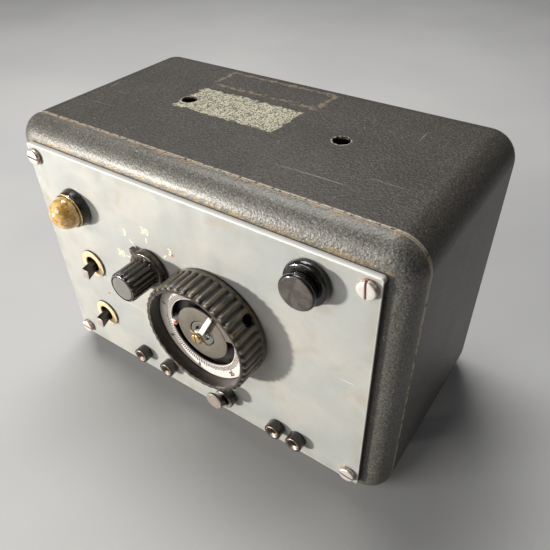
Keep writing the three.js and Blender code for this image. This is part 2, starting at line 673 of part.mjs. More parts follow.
// A cranked lever: a round arm rising from the collar and an upright thumb pad at its end.
function releaseLever() {
  const tilt = THREE.MathUtils.degToRad(RELEASE_TILT);
  const arm = new THREE.CylinderGeometry(2.2, 2.9, RELEASE_ARM, 14);
  arm.translate(0, -RELEASE_ARM / 2, 0).rotateX(-tilt);
  const ball = new THREE.SphereGeometry(3, 14, 8);
  const rise = RELEASE_ARM * Math.sin(tilt);
  const reach = RELEASE_ARM * Math.cos(tilt);
  const pad = turned([
    [0, -reach - 2], [5.2, -reach - 2], [5.8, -reach - 1.4], [5.8, -reach - 0.6],
    [3.2, -reach + 1.4], [0, -reach + 1.4],
  ], 0, rise, 20);
  const tail = rod(1.4, 0, 5, 0, 0, 10);
  return moved(union(solid(arm), solid(ball), pad, tail), RELEASE.x, RELEASE_PIVOT, RELEASE.z);
}

// ---- sockets ------------------------------------------------------------------------------------

const socketSleeve = ({ x, z }) => turned([
  [SOCKET_TUBE + GAP, -SOCKET_PROUD + 0.6], [SOCKET_BARREL - 0.3, -SOCKET_PROUD + 0.6],
  [SOCKET_BARREL, -SOCKET_PROUD + 1], [SOCKET_BARREL, -GAP], [SOCKET_NECK, -GAP],
  [SOCKET_NECK, 8], [SOCKET_TUBE + GAP, 8],
], x, z, 14);

const socketContact = ({ x, z }) => turned([
  [SOCKET_BORE, -SOCKET_PROUD], [SOCKET_BARREL - 0.5, -SOCKET_PROUD],
  [SOCKET_BARREL - 0.5, -SOCKET_PROUD + 0.4], [SOCKET_TUBE, -SOCKET_PROUD + 0.4],
  [SOCKET_TUBE, 20], [0, 20], [0, 14], [SOCKET_BORE, 14],
], x, z, 14);

// ---- inside the case ----------------------------------------------------------------------------

// Folded tray: an upright front fixed behind the bezel's flange, and a shelf for the heavy pieces.
function chassis() {
  const frontHeight = 8;
  const frontMiddle = CHASSIS_FRONT + SHEET / 2;
  const front = box(TRAY_WIDTH, SHEET, frontHeight, 0, frontMiddle, SHELF_Z + frontHeight / 2);
  const shelf = box(TRAY_WIDTH, TRAY_DEPTH, SHEET, 0, CHASSIS_FRONT + TRAY_DEPTH / 2, SHELF_Z);
  return union(front, shelf);
}

function transformerCore() {
  const { x, y, width, depth, height } = TRANSFORMER;
  const middle = ON_SHELF + height / 2;
  const opening = TRANSFORMER_WINDOW;
  const windows = [-1, 1].map((side) =>
    box(opening.width, depth + 2 * OVERSHOOT, opening.height, x + side * opening.x, y, middle));
  return cut(box(width, depth, height, x, y, middle), ...windows);
}

function transformerCoil() {
  const { x, y, depth, height } = TRANSFORMER;
  const middle = ON_SHELF + height / 2;
  const outerWidth = 2 * TRANSFORMER_WINDOW.x + TRANSFORMER_WINDOW.width - 2 * GAP - 1;
  const innerWidth = 2 * TRANSFORMER_WINDOW.x - TRANSFORMER_WINDOW.width + 2 * GAP;
  const outer = box(outerWidth, COIL_LENGTH, TRANSFORMER_WINDOW.height - 1, x, y, middle);
  const inner = box(innerWidth, depth + 2 * GAP, height, x, y, middle);
  return cut(outer, inner);
}

function relayFrame() {
  const { x, y, width, depth, height } = RELAY;
  const plate = 2;
  const base = box(width, depth, plate, x, y, ON_SHELF + plate / 2);
  const back = box(width, plate, height, x, y + (depth - plate) / 2, ON_SHELF + height / 2);
  const armature = box(width - 2, depth - 4, 1.6, x, y + 1, ON_SHELF + height);
  return union(base, back, armature);
}

const relayCoil = () => rod(9.5, 66, 97.5, RELAY.x, ON_SHELF + 13.4, 16);

const capacitor = () => rod(
  CAPACITOR.radius, CAPACITOR.front, CAPACITOR.back, CAPACITOR.x, ON_SHELF + CAPACITOR.radius + GAP, 16);

function terminalStrip() {
  const { y, width, depth, posts } = TERMINALS;
  const base = box(width, depth, 3, 0, y, ON_SHELF + 1.6);
  return union(base, ...posts.map((x) => box(4, 6, 7, x, y, ON_SHELF + 6)));
}

function rangeSwitch() {
  const ring = (radius, front, back) =>
    tube(radius, RANGE_SHAFT + GAP, PANEL_BACK + front, PANEL_BACK + back, RANGE.x, RANGE.z, 12);
  return union(ring(16, 6, 8), ring(9, GAP, 24), ring(16, 18, 20));
}

// Geared timing motor on the panel's back, driving the hand through the dial's hollow shaft.
function timerMotor() {
  const bearing = tube(8, DIAL_SHAFT + GAP, PANEL_BACK + GAP, 21, DIAL.x, DIAL.z, 16);
  const gearbox = box(50, 16, 56, DIAL.x, 28.5, DIAL.z);
  const motor = rod(24, 36, 62, DIAL.x, DIAL.z, 20);
  return union(bearing, gearbox, motor);
}

// ---- assembly -----------------------------------------------------------------------------------

add('rear_case', rearCase(), HAMMERTONE);
add('front_bezel', frontBezel(), HAMMERTONE_LIGHT);
add('front_panel', frontPanel(), PANEL_GREY);
for (const { name, x, z, slot } of PANEL_SCREWS) {
  const screw = cheeseHead({
    x, z, slotAngle: slot, seat: -SEAT_GAP,
    head: SCREW_HEAD, shankRadius: SCREW_SHANK, shankEnd: SEAM - 6,
  });
  add(`panel_screw_${name}`, screw, NICKEL);
}
for (const { name, x, y } of FEET) add(`foot_${name}`, foot(x, y), RUBBER);

add('lamp_collar', lampCollar(), BAKELITE);
add('lamp_ring', lampRing(), BRASS);
add('lamp_lens', lampLens(), AMBER);
add('lamp_bulb', lampBulb(), GLASS);
add('lamp_holder', lampHolder(), BRASS);

add('fuse_body', fuseBody(), BAKELITE);
add('fuse_cap', fuseCap(), BAKELITE);
add('fuse_cartridge', fuseCartridge(), GLASS);

add('dial_ring', dialRing(), BAKELITE);
add('dial_set_screw', dialSetScrew(), STEEL);
add('dial_scale', dialScale(), SCALE_WHITE);
add('dial_disc', dialDisc(), DISC_GREY);
add('dial_washer', springWasher(), STEEL);
add('dial_shaft', dialShaft(), STEEL);
add('setting_marker', settingMarker(), MARKER_WHITE);
add('dial_pointer', dialPointer(), MARKER_WHITE);
add('hub_screw', hubScrew(), BRASS);
add('timer_motor', timerMotor(), ALUMINIUM);

add('range_knob', rangeKnob(), BAKELITE);
add('range_shaft', rangeShaft(), STEEL);
add('range_switch', rangeSwitch(), LAMINATE);

for (const toggle of TOGGLES) {
  add(`toggle_washer_${toggle.name}`, toggleWasher(toggle), WASHER_BEIGE);
  add(`toggle_body_${toggle.name}`, toggleBody(toggle), BAKELITE);
  add(`toggle_lever_${toggle.name}`, toggleLever(toggle), BAKELITE);
}
add('release_collar', releaseCollar(), BAKELITE);
add('release_lever', releaseLever(), BAKELITE);
add('release_switch', releaseSwitch(), BAKELITE);

for (const socket of SOCKETS) {
  add(`socket_sleeve_${socket.name}`, socketSleeve(socket), BAKELITE);
  add(`socket_contact_${socket.name}`, socketContact(socket), BRASS);
}

for (const [name, side] of [['left', -1], ['right', 1]]) {
  const screw = cheeseHead({
    x: side * REAR_SCREW_X, z: 0, slotAngle: 60, seat: 0,
    head: REAR_HEAD, shankRadius: SCREW_SHANK, shankEnd: 9,
  });
  add(`rear_screw_${name}`, moved(turnedAboutX(screw, 180), 0, CASE_DEPTH + SEAT_GAP, 0), NICKEL);
}
add('cable_gland', gland(), RUBBER);

add('chassis', chassis(), ALUMINIUM);
add('transformer_core', transformerCore(), STEEL);
add('transformer_coil', transformerCoil(), COPPER_TAPE);
add('relay_frame', relayFrame(), NICKEL);
add('relay_coil', relayCoil(), COPPER_TAPE);
add('capacitor', capacitor(), ALUMINIUM);
add('terminal_strip', terminalStrip(), LAMINATE);

export default instrument;
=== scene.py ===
import json
import math

import bmesh
import bpy
from mathutils import Matrix, Vector, noise


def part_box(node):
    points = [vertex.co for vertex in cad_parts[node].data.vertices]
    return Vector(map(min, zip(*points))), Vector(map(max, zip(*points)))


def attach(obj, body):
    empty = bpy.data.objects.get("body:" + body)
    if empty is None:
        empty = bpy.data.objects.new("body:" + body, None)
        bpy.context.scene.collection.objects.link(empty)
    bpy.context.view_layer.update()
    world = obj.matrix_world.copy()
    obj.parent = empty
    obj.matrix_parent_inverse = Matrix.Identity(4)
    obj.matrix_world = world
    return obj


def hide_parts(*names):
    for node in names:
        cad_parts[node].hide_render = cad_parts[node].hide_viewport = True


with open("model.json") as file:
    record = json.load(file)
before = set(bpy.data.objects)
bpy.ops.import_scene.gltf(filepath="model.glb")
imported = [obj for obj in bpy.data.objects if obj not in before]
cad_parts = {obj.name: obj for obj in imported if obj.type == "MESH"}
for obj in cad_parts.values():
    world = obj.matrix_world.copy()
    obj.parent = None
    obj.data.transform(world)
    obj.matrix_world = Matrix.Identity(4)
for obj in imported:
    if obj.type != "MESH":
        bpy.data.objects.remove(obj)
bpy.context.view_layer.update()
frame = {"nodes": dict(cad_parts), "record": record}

# A bench pulse generator in a hammertone steel case. Shapes are written in millimetres from the
# centre of the front panel's face: x to the right, y into the case (negative stands out), z up.

MM = 0.001
NODE_BODY = {
    node: body
    for body, nodes in frame["record"]["behaviour"]["bodies"].items()
    for node in nodes
}
panel_low, panel_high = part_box("front_panel")
PANEL = Vector(((panel_low.x + panel_high.x) / 2, panel_low.y, (panel_low.z + panel_high.z) / 2))
PANEL_HALF_WIDTH = (panel_high.x - panel_low.x) / 2 / MM
PANEL_HALF_HEIGHT = (panel_high.z - panel_low.z) / 2 / MM
PANEL_BACK = (panel_high.y - panel_low.y) / MM


def span(node):
    """Lowest and highest corner of a CAD node, in millimetres from the panel's centre."""
    low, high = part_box(node)
    return (low - PANEL) / MM, (high - PANEL) / MM


def spot(node):
    """The x and z of a CAD node's middle, in millimetres from the panel's centre."""
    low, high = span(node)
    return (low.x + high.x) / 2, (low.z + high.z) / 2


case_low, case_high = span("rear_case")
CASE_HALF_WIDTH = case_high.x
CASE_HALF_HEIGHT = case_high.z
CASE_FRONT = case_low.y
CASE_REAR = case_high.y
CASE_CORNER = 16.0
REAR_ROUND = 15.0
SHEET = 1.5
BEZEL_FRONT = span("front_bezel")[0].y
BEZEL_ROLL = 12.0
SEAM = BEZEL_FRONT + BEZEL_ROLL

DIAL_X, DIAL_Z = spot("dial_ring")
RANGE_X, RANGE_Z = spot("range_shaft")
FLUTE = "flute"


# ---- camera, lights and floor ----

CAMERA_PLACE = (0.17094, -0.21480, 0.29689)
CAMERA_TURN = (50.751, 1.218, 34.657)      # degrees about x, y and z
CAMERA_LENS = 36.53
CAMERA_SENSOR = 36.0
SKY_COLOUR = (0.86, 0.88, 0.92, 1)
SKY_STRENGTH = 0.09
LIGHT_AIM = (0, 0, 0.09)
LIGHTS = {     # place, width and height in metres, power in watts, colour
    "key": ((-1.05, -1.25, 0.03), 0.13, 0.1, 44, (1, 0.97, 0.92)),
    "front_fill": ((-0.5, -1.2, 0.75), 0.9, 0.5, 8, (1, 1, 1)),
    "top_fill": ((-0.4, 0.3, 1.2), 0.8, 0.5, 12, (1, 1, 1)),
}


def make_camera():
    data = bpy.data.cameras.new("camera")
    data.lens = CAMERA_LENS
    data.sensor_width = CAMERA_SENSOR
    data.clip_start = 0.01
    camera = bpy.data.objects.new("camera", data)
    camera.location = CAMERA_PLACE
    camera.rotation_euler = [math.radians(angle) for angle in CAMERA_TURN]
    bpy.context.scene.collection.objects.link(camera)
    bpy.context.scene.camera = camera


def soft_light(name, place, width, height, power, colour):
    data = bpy.data.lights.new(name, "AREA")
    data.shape = "RECTANGLE"
    data.size = width
    data.size_y = height
    data.energy = power
    data.color = colour
    light = bpy.data.objects.new(name, data)
    light.location = place
    light.rotation_euler = (Vector(LIGHT_AIM) - Vector(place)).to_track_quat("-Z", "Y").to_euler()
    bpy.context.scene.collection.objects.link(light)


def make_studio():
    world = bpy.data.worlds.new("studio")
    world.use_nodes = True
    background = world.node_tree.nodes["Background"]
    background.inputs["Color"].default_value = SKY_COLOUR
    background.inputs["Strength"].default_value = SKY_STRENGTH
    bpy.context.scene.world = world
    for name, settings in LIGHTS.items():
        soft_light(name, *settings)
    bpy.context.scene.view_settings.view_transform = "Standard"


# ---- materials ----

def tone(code):
    """Linear colour from six hexadecimal digits."""
    parts = [int(code[i:i + 2], 16) / 255 for i in (0, 2, 4)]
    linear = [c / 12.92 if c <= 0.04045 else ((c + 0.055) / 1.055) ** 2.4 for c in parts]
    return (*linear, 1.0)


class Surface:
    """A procedural material; every length in it is in millimetres of the piece's own space."""

    def __init__(self, name, slot=None, **constants):
        self.slot = slot
        self.material = bpy.data.materials.new(name)
        self.material.use_nodes = True
        self.tree = self.material.node_tree
        self.shader = self.tree.nodes["Principled BSDF"]
        for key, value in constants.items():
            self.shader.inputs[key.replace("_", " ")].default_value = value
        own_space = self.node("TexCoord", {}, "Object")
        self.place = self.node("Mapping", {"Vector": own_space, "Scale": (1 / MM,) * 3})

    def feed(self, socket, value):
        if isinstance(value, bpy.types.NodeSocket):
            self.tree.links.new(value, socket)
        else:
            socket.default_value = tone(value) if isinstance(value, str) else value

    def node(self, kind, inputs, output=0, **settings):
        made = self.tree.nodes.new("ShaderNode" + kind)
        for key, value in settings.items():
            setattr(made, key, value)
        for key, value in inputs.items():
            self.feed(made.inputs[key], value)
        return made.outputs[output]

    def stretched(self, x=1.0, y=1.0, z=1.0, shift=0.0):
        return self.node("Mapping", {"Vector": self.place, "Scale": (x, y, z), "Location": (shift,) * 3})

    def noise(self, size, detail=3.0, rough=0.55, warp=0.0, place=None):
        return self.node("TexNoise", {
            "Vector": place or self.place, "Scale": 1 / size, "Detail": detail, "Roughness": rough,
            "Distortion": warp})

    def cells(self, size, place):
        inputs = {"Vector": place, "Scale": 1 / size}
        return self.node("TexVoronoi", inputs, "Distance", feature="SMOOTH_F1")

    def math(self, operation, a, b=0.0, clamp=False):
        return self.node("Math", {0: a, 1: b}, operation=operation, use_clamp=clamp)

    def all_of(self, first, *others):
        for other in others:
            first = self.math("MULTIPLY", first, other)
        return first

    def step(self, value, low, high, start=0.0, end=1.0):
        """A smooth change from start to end as value goes from low to high."""
        inputs = {"Value": value, "From Min": low, "From Max": high, "To Min": start, "To Max": end}
        return self.node("MapRange", inputs, "Result", interpolation_type="SMOOTHSTEP")

    def axis(self, name):
        return self.node("SeparateXYZ", {0: self.place}, name)

    def radius(self):
        """Distance from the piece's own Y axis."""
        return self.node("VectorMath", {0: self.stretched(1, 0, 1)}, "Value", operation="LENGTH")

    def attribute(self, name):
        return self.node("Attribute", {}, "Fac", attribute_name=name)

    def mix(self, share, a, b):
        return self.node("Mix", {0: share, 6: a, 7: b}, 2, data_type="RGBA")

    def lay(self, code, *shares):
        """Lays a tone over the colour so far, by the product of the shares."""
        self.colour = self.mix(self.all_of(*shares), self.colour, code)

    def band(self, value, low, high, soft):
        """1 where value lies between low and high."""
        return self.all_of(
            self.step(value, low - soft, low), self.step(value, high, high + soft, 1, 0))

    def patches(self, low, high, *pattern, start=0.0, end=1.0):
        """A noise cut to a soft share of the surface; pattern is what noise takes."""
        return self.step(self.noise(*pattern), low, high, start, end)

    def specks(self, size, low, high, shift=0.0):
        return self.patches(low, high, size, 2, 0.5, 0.0, self.stretched(shift=shift))

    def scratches(self, size, stretch, low, high, shift=0.0):
        """Long thin marks along one axis."""
        return self.patches(low, high, size, 1.5, 0.5, 0.4, self.stretched(*stretch, shift=shift))

    def close(self, rough, *layers):
        """Joins the colour, the roughness and the bump to the shader; a layer is (height, depth)."""
        self.feed(self.shader.inputs["Base Color"], self.colour)
        self.feed(self.shader.inputs["Roughness"], rough)
        normal = None
        for height, depth in layers:
            inputs = {"Distance": depth * MM, "Height": height}
            if normal:
                inputs["Normal"] = normal
            normal = self.node("Bump", inputs)
        if normal:
            self.feed(self.shader.inputs["Normal"], normal)
        return self


def hammertone(name, slot, dark, middle, light, gloss):
    """Hammer-finish enamel: small round dimples in a paint with metal flake."""
    s = Surface(name, slot, Metallic=0.25, Coat_Weight=0.12, Coat_Roughness=0.3)
    wandering = s.noise(0.75, 2, 0.6, 0.6)
    dimples = s.cells(1.2, s.stretched(shift=3.0))
    mottle = s.patches(0.36, 0.66, 0.85, 3.5, 0.68, 1.1)
    cloud = s.patches(0.35, 0.68, 26, 4, 0.6)
    s.colour = s.mix(mottle, dark, middle)
    s.lay(light, s.step(wandering, 0.5, 0.72), 0.6)
    s.lay("2c2824", cloud, 0.22)
    s.dimples, s.wandering, s.gloss = dimples, wandering, gloss
    return s


def finish_hammertone(s, worn):
    """Closes a hammertone: worn is the share of bare metal along its edges."""
    chips = s.specks(2.6, 0.735, 0.765, 11.0)
    rust = s.specks(7.5, 0.72, 0.79, 29.0)
    rust_core = s.all_of(rust, s.specks(1.1, 0.4, 0.6, 5.0))
    hair = s.scratches(3.2, (0.06, 1.2, 1.2), 0.74, 0.77, 17.0)
    hair_across = s.scratches(3.6, (1.1, 0.07, 1.1), 0.75, 0.78, 41.0)
    marks = s.math("MAXIMUM", hair, hair_across)
    s.lay("a59c8c", marks, 0.4)
    s.lay("5a3a24", rust_core, 0.75)
    s.lay("b9b1a2", chips, 0.55)
    s.lay("b7ac98", worn)
    rough = s.step(s.wandering, 0.3, 0.7, s.gloss - 0.07, s.gloss + 0.12)
    return s.close(
        rough,
        (s.noise(55, 2, 0.5), 0.9), (s.dimples, 0.2), (s.wandering, 0.09), (marks, -0.03), (chips, -0.06))


GLUE_ACROSS, GLUE_ALONG = (-53, 15), (62, 90)
LABEL_ACROSS, LABEL_ALONG = (-55, 20), (98, 121)
LABEL_LINE = 2.5


def case_paint():
    # Case and bezel are one paint, but these three tones are a darker, browner copy of the bezel's: painted
    # shade for the case's top and sides.
    s = hammertone("case_hammertone_shaded", "hammertone", "3a3631", "5c5750", "857f75", 0.47)
    x, y, z = s.axis("X"), s.axis("Y"), s.axis("Z")
    on_top = s.step(z, CASE_HALF_HEIGHT - 1.2, CASE_HALF_HEIGHT - 0.6)
    ragged = s.math("MULTIPLY", s.math("SUBTRACT", s.noise(5, 3, 0.6), 0.5), 9)
    ragged_x, ragged_y = s.math("ADD", x, ragged), s.math("ADD", y, ragged)

    def patch(across, along, soft, inset=0.0):
        return s.all_of(s.band(ragged_x, across[0] + inset, across[1] - inset, soft),
                        s.band(ragged_y, along[0] + inset, along[1] - inset, soft))

    glue = s.all_of(on_top, patch(GLUE_ACROSS, GLUE_ALONG, 1.2))
    crumbs = s.patches(0.44, 0.53, 0.95, 2.5, 0.6, 0.7)
    s.lay("8d8a80", glue, 0.25)
    s.lay("d8d2b4", glue, crumbs, 0.95)
    outer = patch(LABEL_ACROSS, LABEL_ALONG, 0.8)
    inner = patch(LABEL_ACROSS, LABEL_ALONG, 0.8, LABEL_LINE)
    outline = s.all_of(on_top, s.math("SUBTRACT", outer, inner, clamp=True), s.specks(4, 0.38, 0.52, 7.0))
    s.lay("9c8a70", outline, 0.65)
    seam = s.step(y, CASE_FRONT + 0.5, CASE_FRONT + 1.5, 1, 0)
    worn = s.all_of(seam, s.specks(3.0, 0.36, 0.5, 2.0))
    for side in (-1, 1):
        across = s.math("SUBTRACT", x, side * HANDLE_SPREAD)
        along = s.math("SUBTRACT", y, HANDLE_BEHIND)
        away = s.math("SQRT", s.math("ADD", s.all_of(across, across), s.all_of(along, along)))
        rim = s.all_of(on_top, s.step(away, HANDLE_HOLE + 0.3, HANDLE_HOLE + 1.0, 1, 0))
        worn = s.math("MAXIMUM", worn, s.all_of(rim, s.specks(2.0, 0.4, 0.55, 9.0)))
    return finish_hammertone(s, worn)


def bezel_paint():
    s = hammertone("bezel_hammertone", "hammertone_bezel", "45433e", "77746c", "a39e93", 0.44)
    y = s.axis("Y")
    seam = s.all_of(s.step(y, SEAM - 1.1, SEAM - 0.5), s.specks(4.0, 0.3, 0.5, 2.0))
    tan = s.all_of(s.band(y, SEAM - 2.2, SEAM - 1.0, 0.5), s.specks(9.0, 0.42, 0.6, 13.0))
    s.lay("8a6c48", tan, 0.7)
    z = s.axis("Z")
    front = s.all_of(s.step(y, BEZEL_FRONT + 0.4, BEZEL_FRONT + 0.1), s.specks(7.0, 0.4, 0.6, 3.0),
                     s.step(z, PANEL_HALF_HEIGHT - 1.0, PANEL_HALF_HEIGHT + 0.2))
    s.lay("8a7656", front, 0.7)
    # Painted shadow: the bezel's front face darkened below the panel's top, in the narrow gap round the
    # panel.
    gap_shadow = s.all_of(s.step(y, BEZEL_FRONT + 0.5, BEZEL_FRONT + 0.1),
                     s.step(z, PANEL_HALF_HEIGHT, PANEL_HALF_HEIGHT - 1.0))
    s.lay("26241f", gap_shadow, 0.35)
    return finish_hammertone(s, seam)


def panel_paint():
    s = Surface("panel_grey", "panel_paint", Metallic=0.12, Coat_Weight=0.08, Coat_Roughness=0.35)
    x, z = s.axis("X"), s.axis("Z")
    cloud = s.patches(0.32, 0.7, 38, 5, 0.6, 0.3)
    fine = s.noise(0.5, 2, 0.6)
    smears = s.patches(0.45, 0.8, 9, 4, 0.65, 1.2, s.stretched(0.5, 1, 1.3))
    s.colour = s.mix(cloud, "a9aba7", "bab6ad")
    s.lay("9da3a3", smears, 0.3)
    s.lay("8f928f", s.step(fine, 0.35, 0.7, 0, 0.14))
    grime = s.specks(13, 0.58, 0.74, 31.0)
    s.lay("a8997f", grime, 0.35)
    brown = s.specks(2.2, 0.775, 0.80, 3.0)
    s.lay("7a5b3f", brown, 0.7)
    hair = s.scratches(2.4, (0.05, 1, 1), 0.765, 0.79, 4.0)
    upright = s.scratches(2.9, (1, 1, 0.06), 0.77, 0.80, 23.0)
    marks = s.math("MAXIMUM", hair, upright)
    s.lay("e6e4de", marks, 0.45)
    from_side = s.math("SUBTRACT", PANEL_HALF_WIDTH, s.math("ABSOLUTE", x))
    from_top = s.math("SUBTRACT", PANEL_HALF_HEIGHT, s.math("ABSOLUTE", z))
    edge = s.math("MINIMUM", from_side, from_top)
    wander = s.math("MULTIPLY", s.noise(6, 3, 0.6), 1.1)
    worn = s.step(s.math("SUBTRACT", edge, wander), 0.0, 0.35, 1, 0)
    # Painted shade: darker patches within 9 mm of the panel's edge, beside the bezel.
    edge_shade = s.all_of(s.step(edge, 1.0, 9.0, 1, 0), s.specks(12, 0.35, 0.65, 8.0))
    s.lay("8f897c", edge_shade, 0.3)
    # Lighter paint along every edge is wear; at full strength along the top edge it is a painted highlight.
    upper = s.step(z, PANEL_HALF_HEIGHT - 3, PANEL_HALF_HEIGHT - 1)
    s.lay("d9d8d3", worn, s.math("MAXIMUM", upper, 0.25))
    # Painted shade: the panel's side and bottom edge faces darkened, all but the top edge.
    side_shade = s.step(s.axis("Y"), 0.35, 0.7)
    s.lay("3a3833", side_shade, s.step(z, PANEL_HALF_HEIGHT - 2, PANEL_HALF_HEIGHT - 3))
    return s.close(
        s.patches(0.3, 0.7, 14, 4, 0.65, start=0.36, end=0.52),
        (s.noise(60, 2, 0.5), 0.35), (fine, 0.02), (marks, -0.02), (brown, -0.03))


def bakelite(name, gloss, dust, dusty_tone="75695a", base="0f0d0c"):
    """Black moulded phenolic with a film of brown dust; on the dial a flute's floor is darkened as painted
    shade.
    """
    s = Surface(name, "bakelite", Coat_Weight=0.25, Coat_Roughness=0.12, Specular_IOR_Level=0.55)
    film = s.patches(0.3, 0.75, 4.2, 5, 0.7, 0.5)
    grain = s.patches(0.35, 0.7, 0.7, 3, 0.6)
    cover = s.math("MULTIPLY", s.math("ADD", s.all_of(film, 0.75), s.all_of(grain, 0.25)), dust)
    s.film, s.grain, s.gloss = film, grain, gloss
    s.colour = s.mix(cover, base, dusty_tone)
    return s


def finish_bakelite(s, worn=0.0, worn_tone="a29482"):
    if worn:
        s.lay(worn_tone, worn)
    pits = s.specks(1.3, 0.7, 0.76, 6.0)
    s.lay("8d7f6d", pits, 0.35)
    base = s.step(s.film, 0.2, 0.9, s.gloss, s.gloss + 0.22)
    rough = s.math("ADD", base, s.all_of(worn, 0.25)) if worn else base
    return s.close(rough, (s.noise(8, 3, 0.5), 0.06), (s.grain, 0.012), (pits, -0.02))


def glossy_bakelite():
    return finish_bakelite(bakelite("bakelite_glossy", 0.09, 0.08))


def plain_bakelite():
    return finish_bakelite(bakelite("bakelite_plain", 0.24, 0.3))


def dial_bakelite():
    s = bakelite("bakelite_dial", 0.3, 0.55, "5f5345", "0b0908")
    flute = s.attribute(FLUTE)
    radius, y = s.radius(), s.axis("Y")
    side = s.step(radius, DIAL_RADIUS - 1.8, DIAL_RADIUS - 1.4)
    ridge = s.all_of(side, s.step(flute, 0.15, 0.75, 1, 0))
    ridge = s.all_of(ridge, s.patches(0.3, 0.62, 3.4, 4, 0.65, 0.4, s.stretched(1, 0.35, 1)))
    s.lay("85765f", ridge, 0.66)
    # Painted shade: the floors of the flutes on the dial's side darkened to near black.
    s.lay("0d0b0a", side, s.step(flute, 0.35, 0.85), 0.9)
    land = s.all_of(
        s.step(radius, DIAL_WELL, DIAL_WELL + 0.3), s.step(y, DIAL_FRONT + 2.4, DIAL_FRONT + 1.6))
    s.lay("64594c", land, s.film, 0.4)
    # Painted shade: the bakelite inside the dial's well darkened to near black.
    inside = s.step(radius, DIAL_WELL + 0.1, DIAL_WELL - 0.1)
    s.lay("110e0c", inside, 0.85)
    lip = s.all_of(
        s.band(radius, DIAL_WELL - 0.05, DIAL_WELL + 0.55, 0.12),
        s.step(y, DIAL_FRONT + 0.9, DIAL_FRONT + 0.5))
    rim = s.all_of(s.band(radius, DIAL_RADIUS - 1.5, DIAL_RADIUS - 0.6, 0.2),
                   s.step(y, DIAL_FRONT + 1.6, DIAL_FRONT + 0.9), s.step(flute, 0.1, 0.5, 1, 0))
    chipped = s.all_of(lip, s.specks(2.2, 0.45, 0.6, 4.0), 0.5)
    worn = s.math("MAXIMUM", chipped, s.all_of(rim, s.specks(1.6, 0.4, 0.65, 1.0), 0.5))
    return finish_bakelite(s, worn, "8f8271")


def knob_bakelite():
    s = bakelite("bakelite_knob", 0.12, 0.16)
    radius, y = s.radius(), s.axis("Y")
    skirt = s.step(radius, KNOB_GRIP + 0.2, KNOB_GRIP + 1.0)
    s.lay("64584a", skirt, s.film, 0.75)
    streaks = s.patches(0.46, 0.64, 2.6, 4, 0.65, 0.3, s.stretched(1, 0.22, 1))
    s.lay("7b6650", streaks, s.step(radius, KNOB_GRIP - 1.3, KNOB_GRIP - 0.4), 0.3)
    face = s.all_of(
        s.step(y, KNOB_FRONT + 0.5, KNOB_FRONT + 0.2), s.step(radius, KNOB_GROOVE - 0.1, KNOB_GROOVE - 0.4))
    brushed = s.patches(0.2, 0.75, 1.1, 4, 0.7, 0.2, s.stretched(0.3, 1, 1.4), start=0.68, end=0.95)
    ring = s.all_of(
        s.step(y, KNOB_FRONT + 1.2, KNOB_FRONT + 0.6), s.step(radius, KNOB_GROOVE + 0.3, KNOB_GROOVE + 0.7))
    worn = s.math("MAXIMUM", s.all_of(face, brushed), s.all_of(ring, s.specks(1.4, 0.4, 0.6, 1.0), 0.6))
    return finish_bakelite(s, worn, "7e7a73")


def fuse_bakelite():
    s = bakelite("bakelite_fuse_cap", 0.09, 0.06)
    face = s.all_of(s.step(s.axis("Y"), -9.6, -10.2), s.step(s.radius(), 8.7, 8.2))
    film = s.patches(0.3, 0.65, 7, 4, 0.6, 0.8, start=0.2, end=0.55)
    return finish_bakelite(s, s.all_of(face, film), "71675f")


def lever_bakelite():
    """Square levers whose end faces have lost their gloss."""
    s = bakelite("bakelite_lever", 0.26, 0.2)
    slanted = s.math("SUBTRACT", s.axis("Y"), s.math("MULTIPLY", s.axis("Z"), TIP_SLANT))
    middle = TIP_SLANT * TOGGLE_HALF - TOGGLE_LENGTH
    end = s.step(slanted, middle + 0.5, middle + 0.2)
    patchy = s.patches(0.25, 0.5, 1.1, 3, 0.6, 0.4, start=0.7, end=1.0)
    return finish_bakelite(s, s.all_of(end, patchy), "a3948a")


def pad_bakelite():
    s = bakelite("bakelite_release", 0.26, 0.18)
    face = s.all_of(s.step(s.axis("Y"), -RELEASE_REACH - 1.35, -RELEASE_REACH - 1.65),
                    s.step(s.axis("Z"), RELEASE_RISE - 6.2, RELEASE_RISE - 5.8))
    patchy = s.patches(0.3, 0.6, 2.2, 4, 0.65, 0.4, start=0.72, end=1.0)
    return finish_bakelite(s, s.all_of(face, patchy), "94867c")


def collar_bakelite():
    s = bakelite("bakelite_collar", 0.2, 0.2)
    front = s.step(s.axis("Y"), -4.9, -5.2)
    patchy = s.specks(1.4, 0.3, 0.5, 1.0)
    return finish_bakelite(s, s.all_of(front, patchy, 0.8), "9a8e84")


def nickel():
    """Plated screw heads with rust in their slots and dull brown flanks."""
    s = Surface("nickel_plate", "nickel", Metallic=0.55)
    stain = s.patches(0.45, 0.75, 1.6, 4, 0.65, 0.5)
    s.colour = s.mix(s.all_of(stain, 0.2), "f2e9e2", "a8968a")
    slot = s.attribute(FLUTE)
    s.lay("7a3d24", slot, 0.9)
    flank = s.step(s.radius(), SCREW_HEAD - 0.35, SCREW_HEAD - 0.05)
    s.lay("8a6247", flank, s.patches(0.3, 0.6, 2.2, 3, 0.6), 0.8)
    turning = s.noise(0.35, 2, 0.5, place=s.stretched(1, 4, 1))
    return s.close(s.step(stain, 0, 1, 0.28, 0.5), (turning, 0.01), (stain, 0.02))


def metal(name, slot, light, dark, rough, grain=0.6):
    s = Surface(name, slot, Metallic=1.0)
    tarnish = s.patches(0.35, 0.72, 2.4, 4, 0.65, 0.6)
    brushed = s.noise(grain, 3, 0.6, place=s.stretched(1, 0.3, 1))
    s.colour = s.mix(tarnish, light, dark)
    return s.close(s.step(tarnish, 0, 1, rough - 0.06, rough + 0.14), (brushed, 0.012), (tarnish, 0.01))


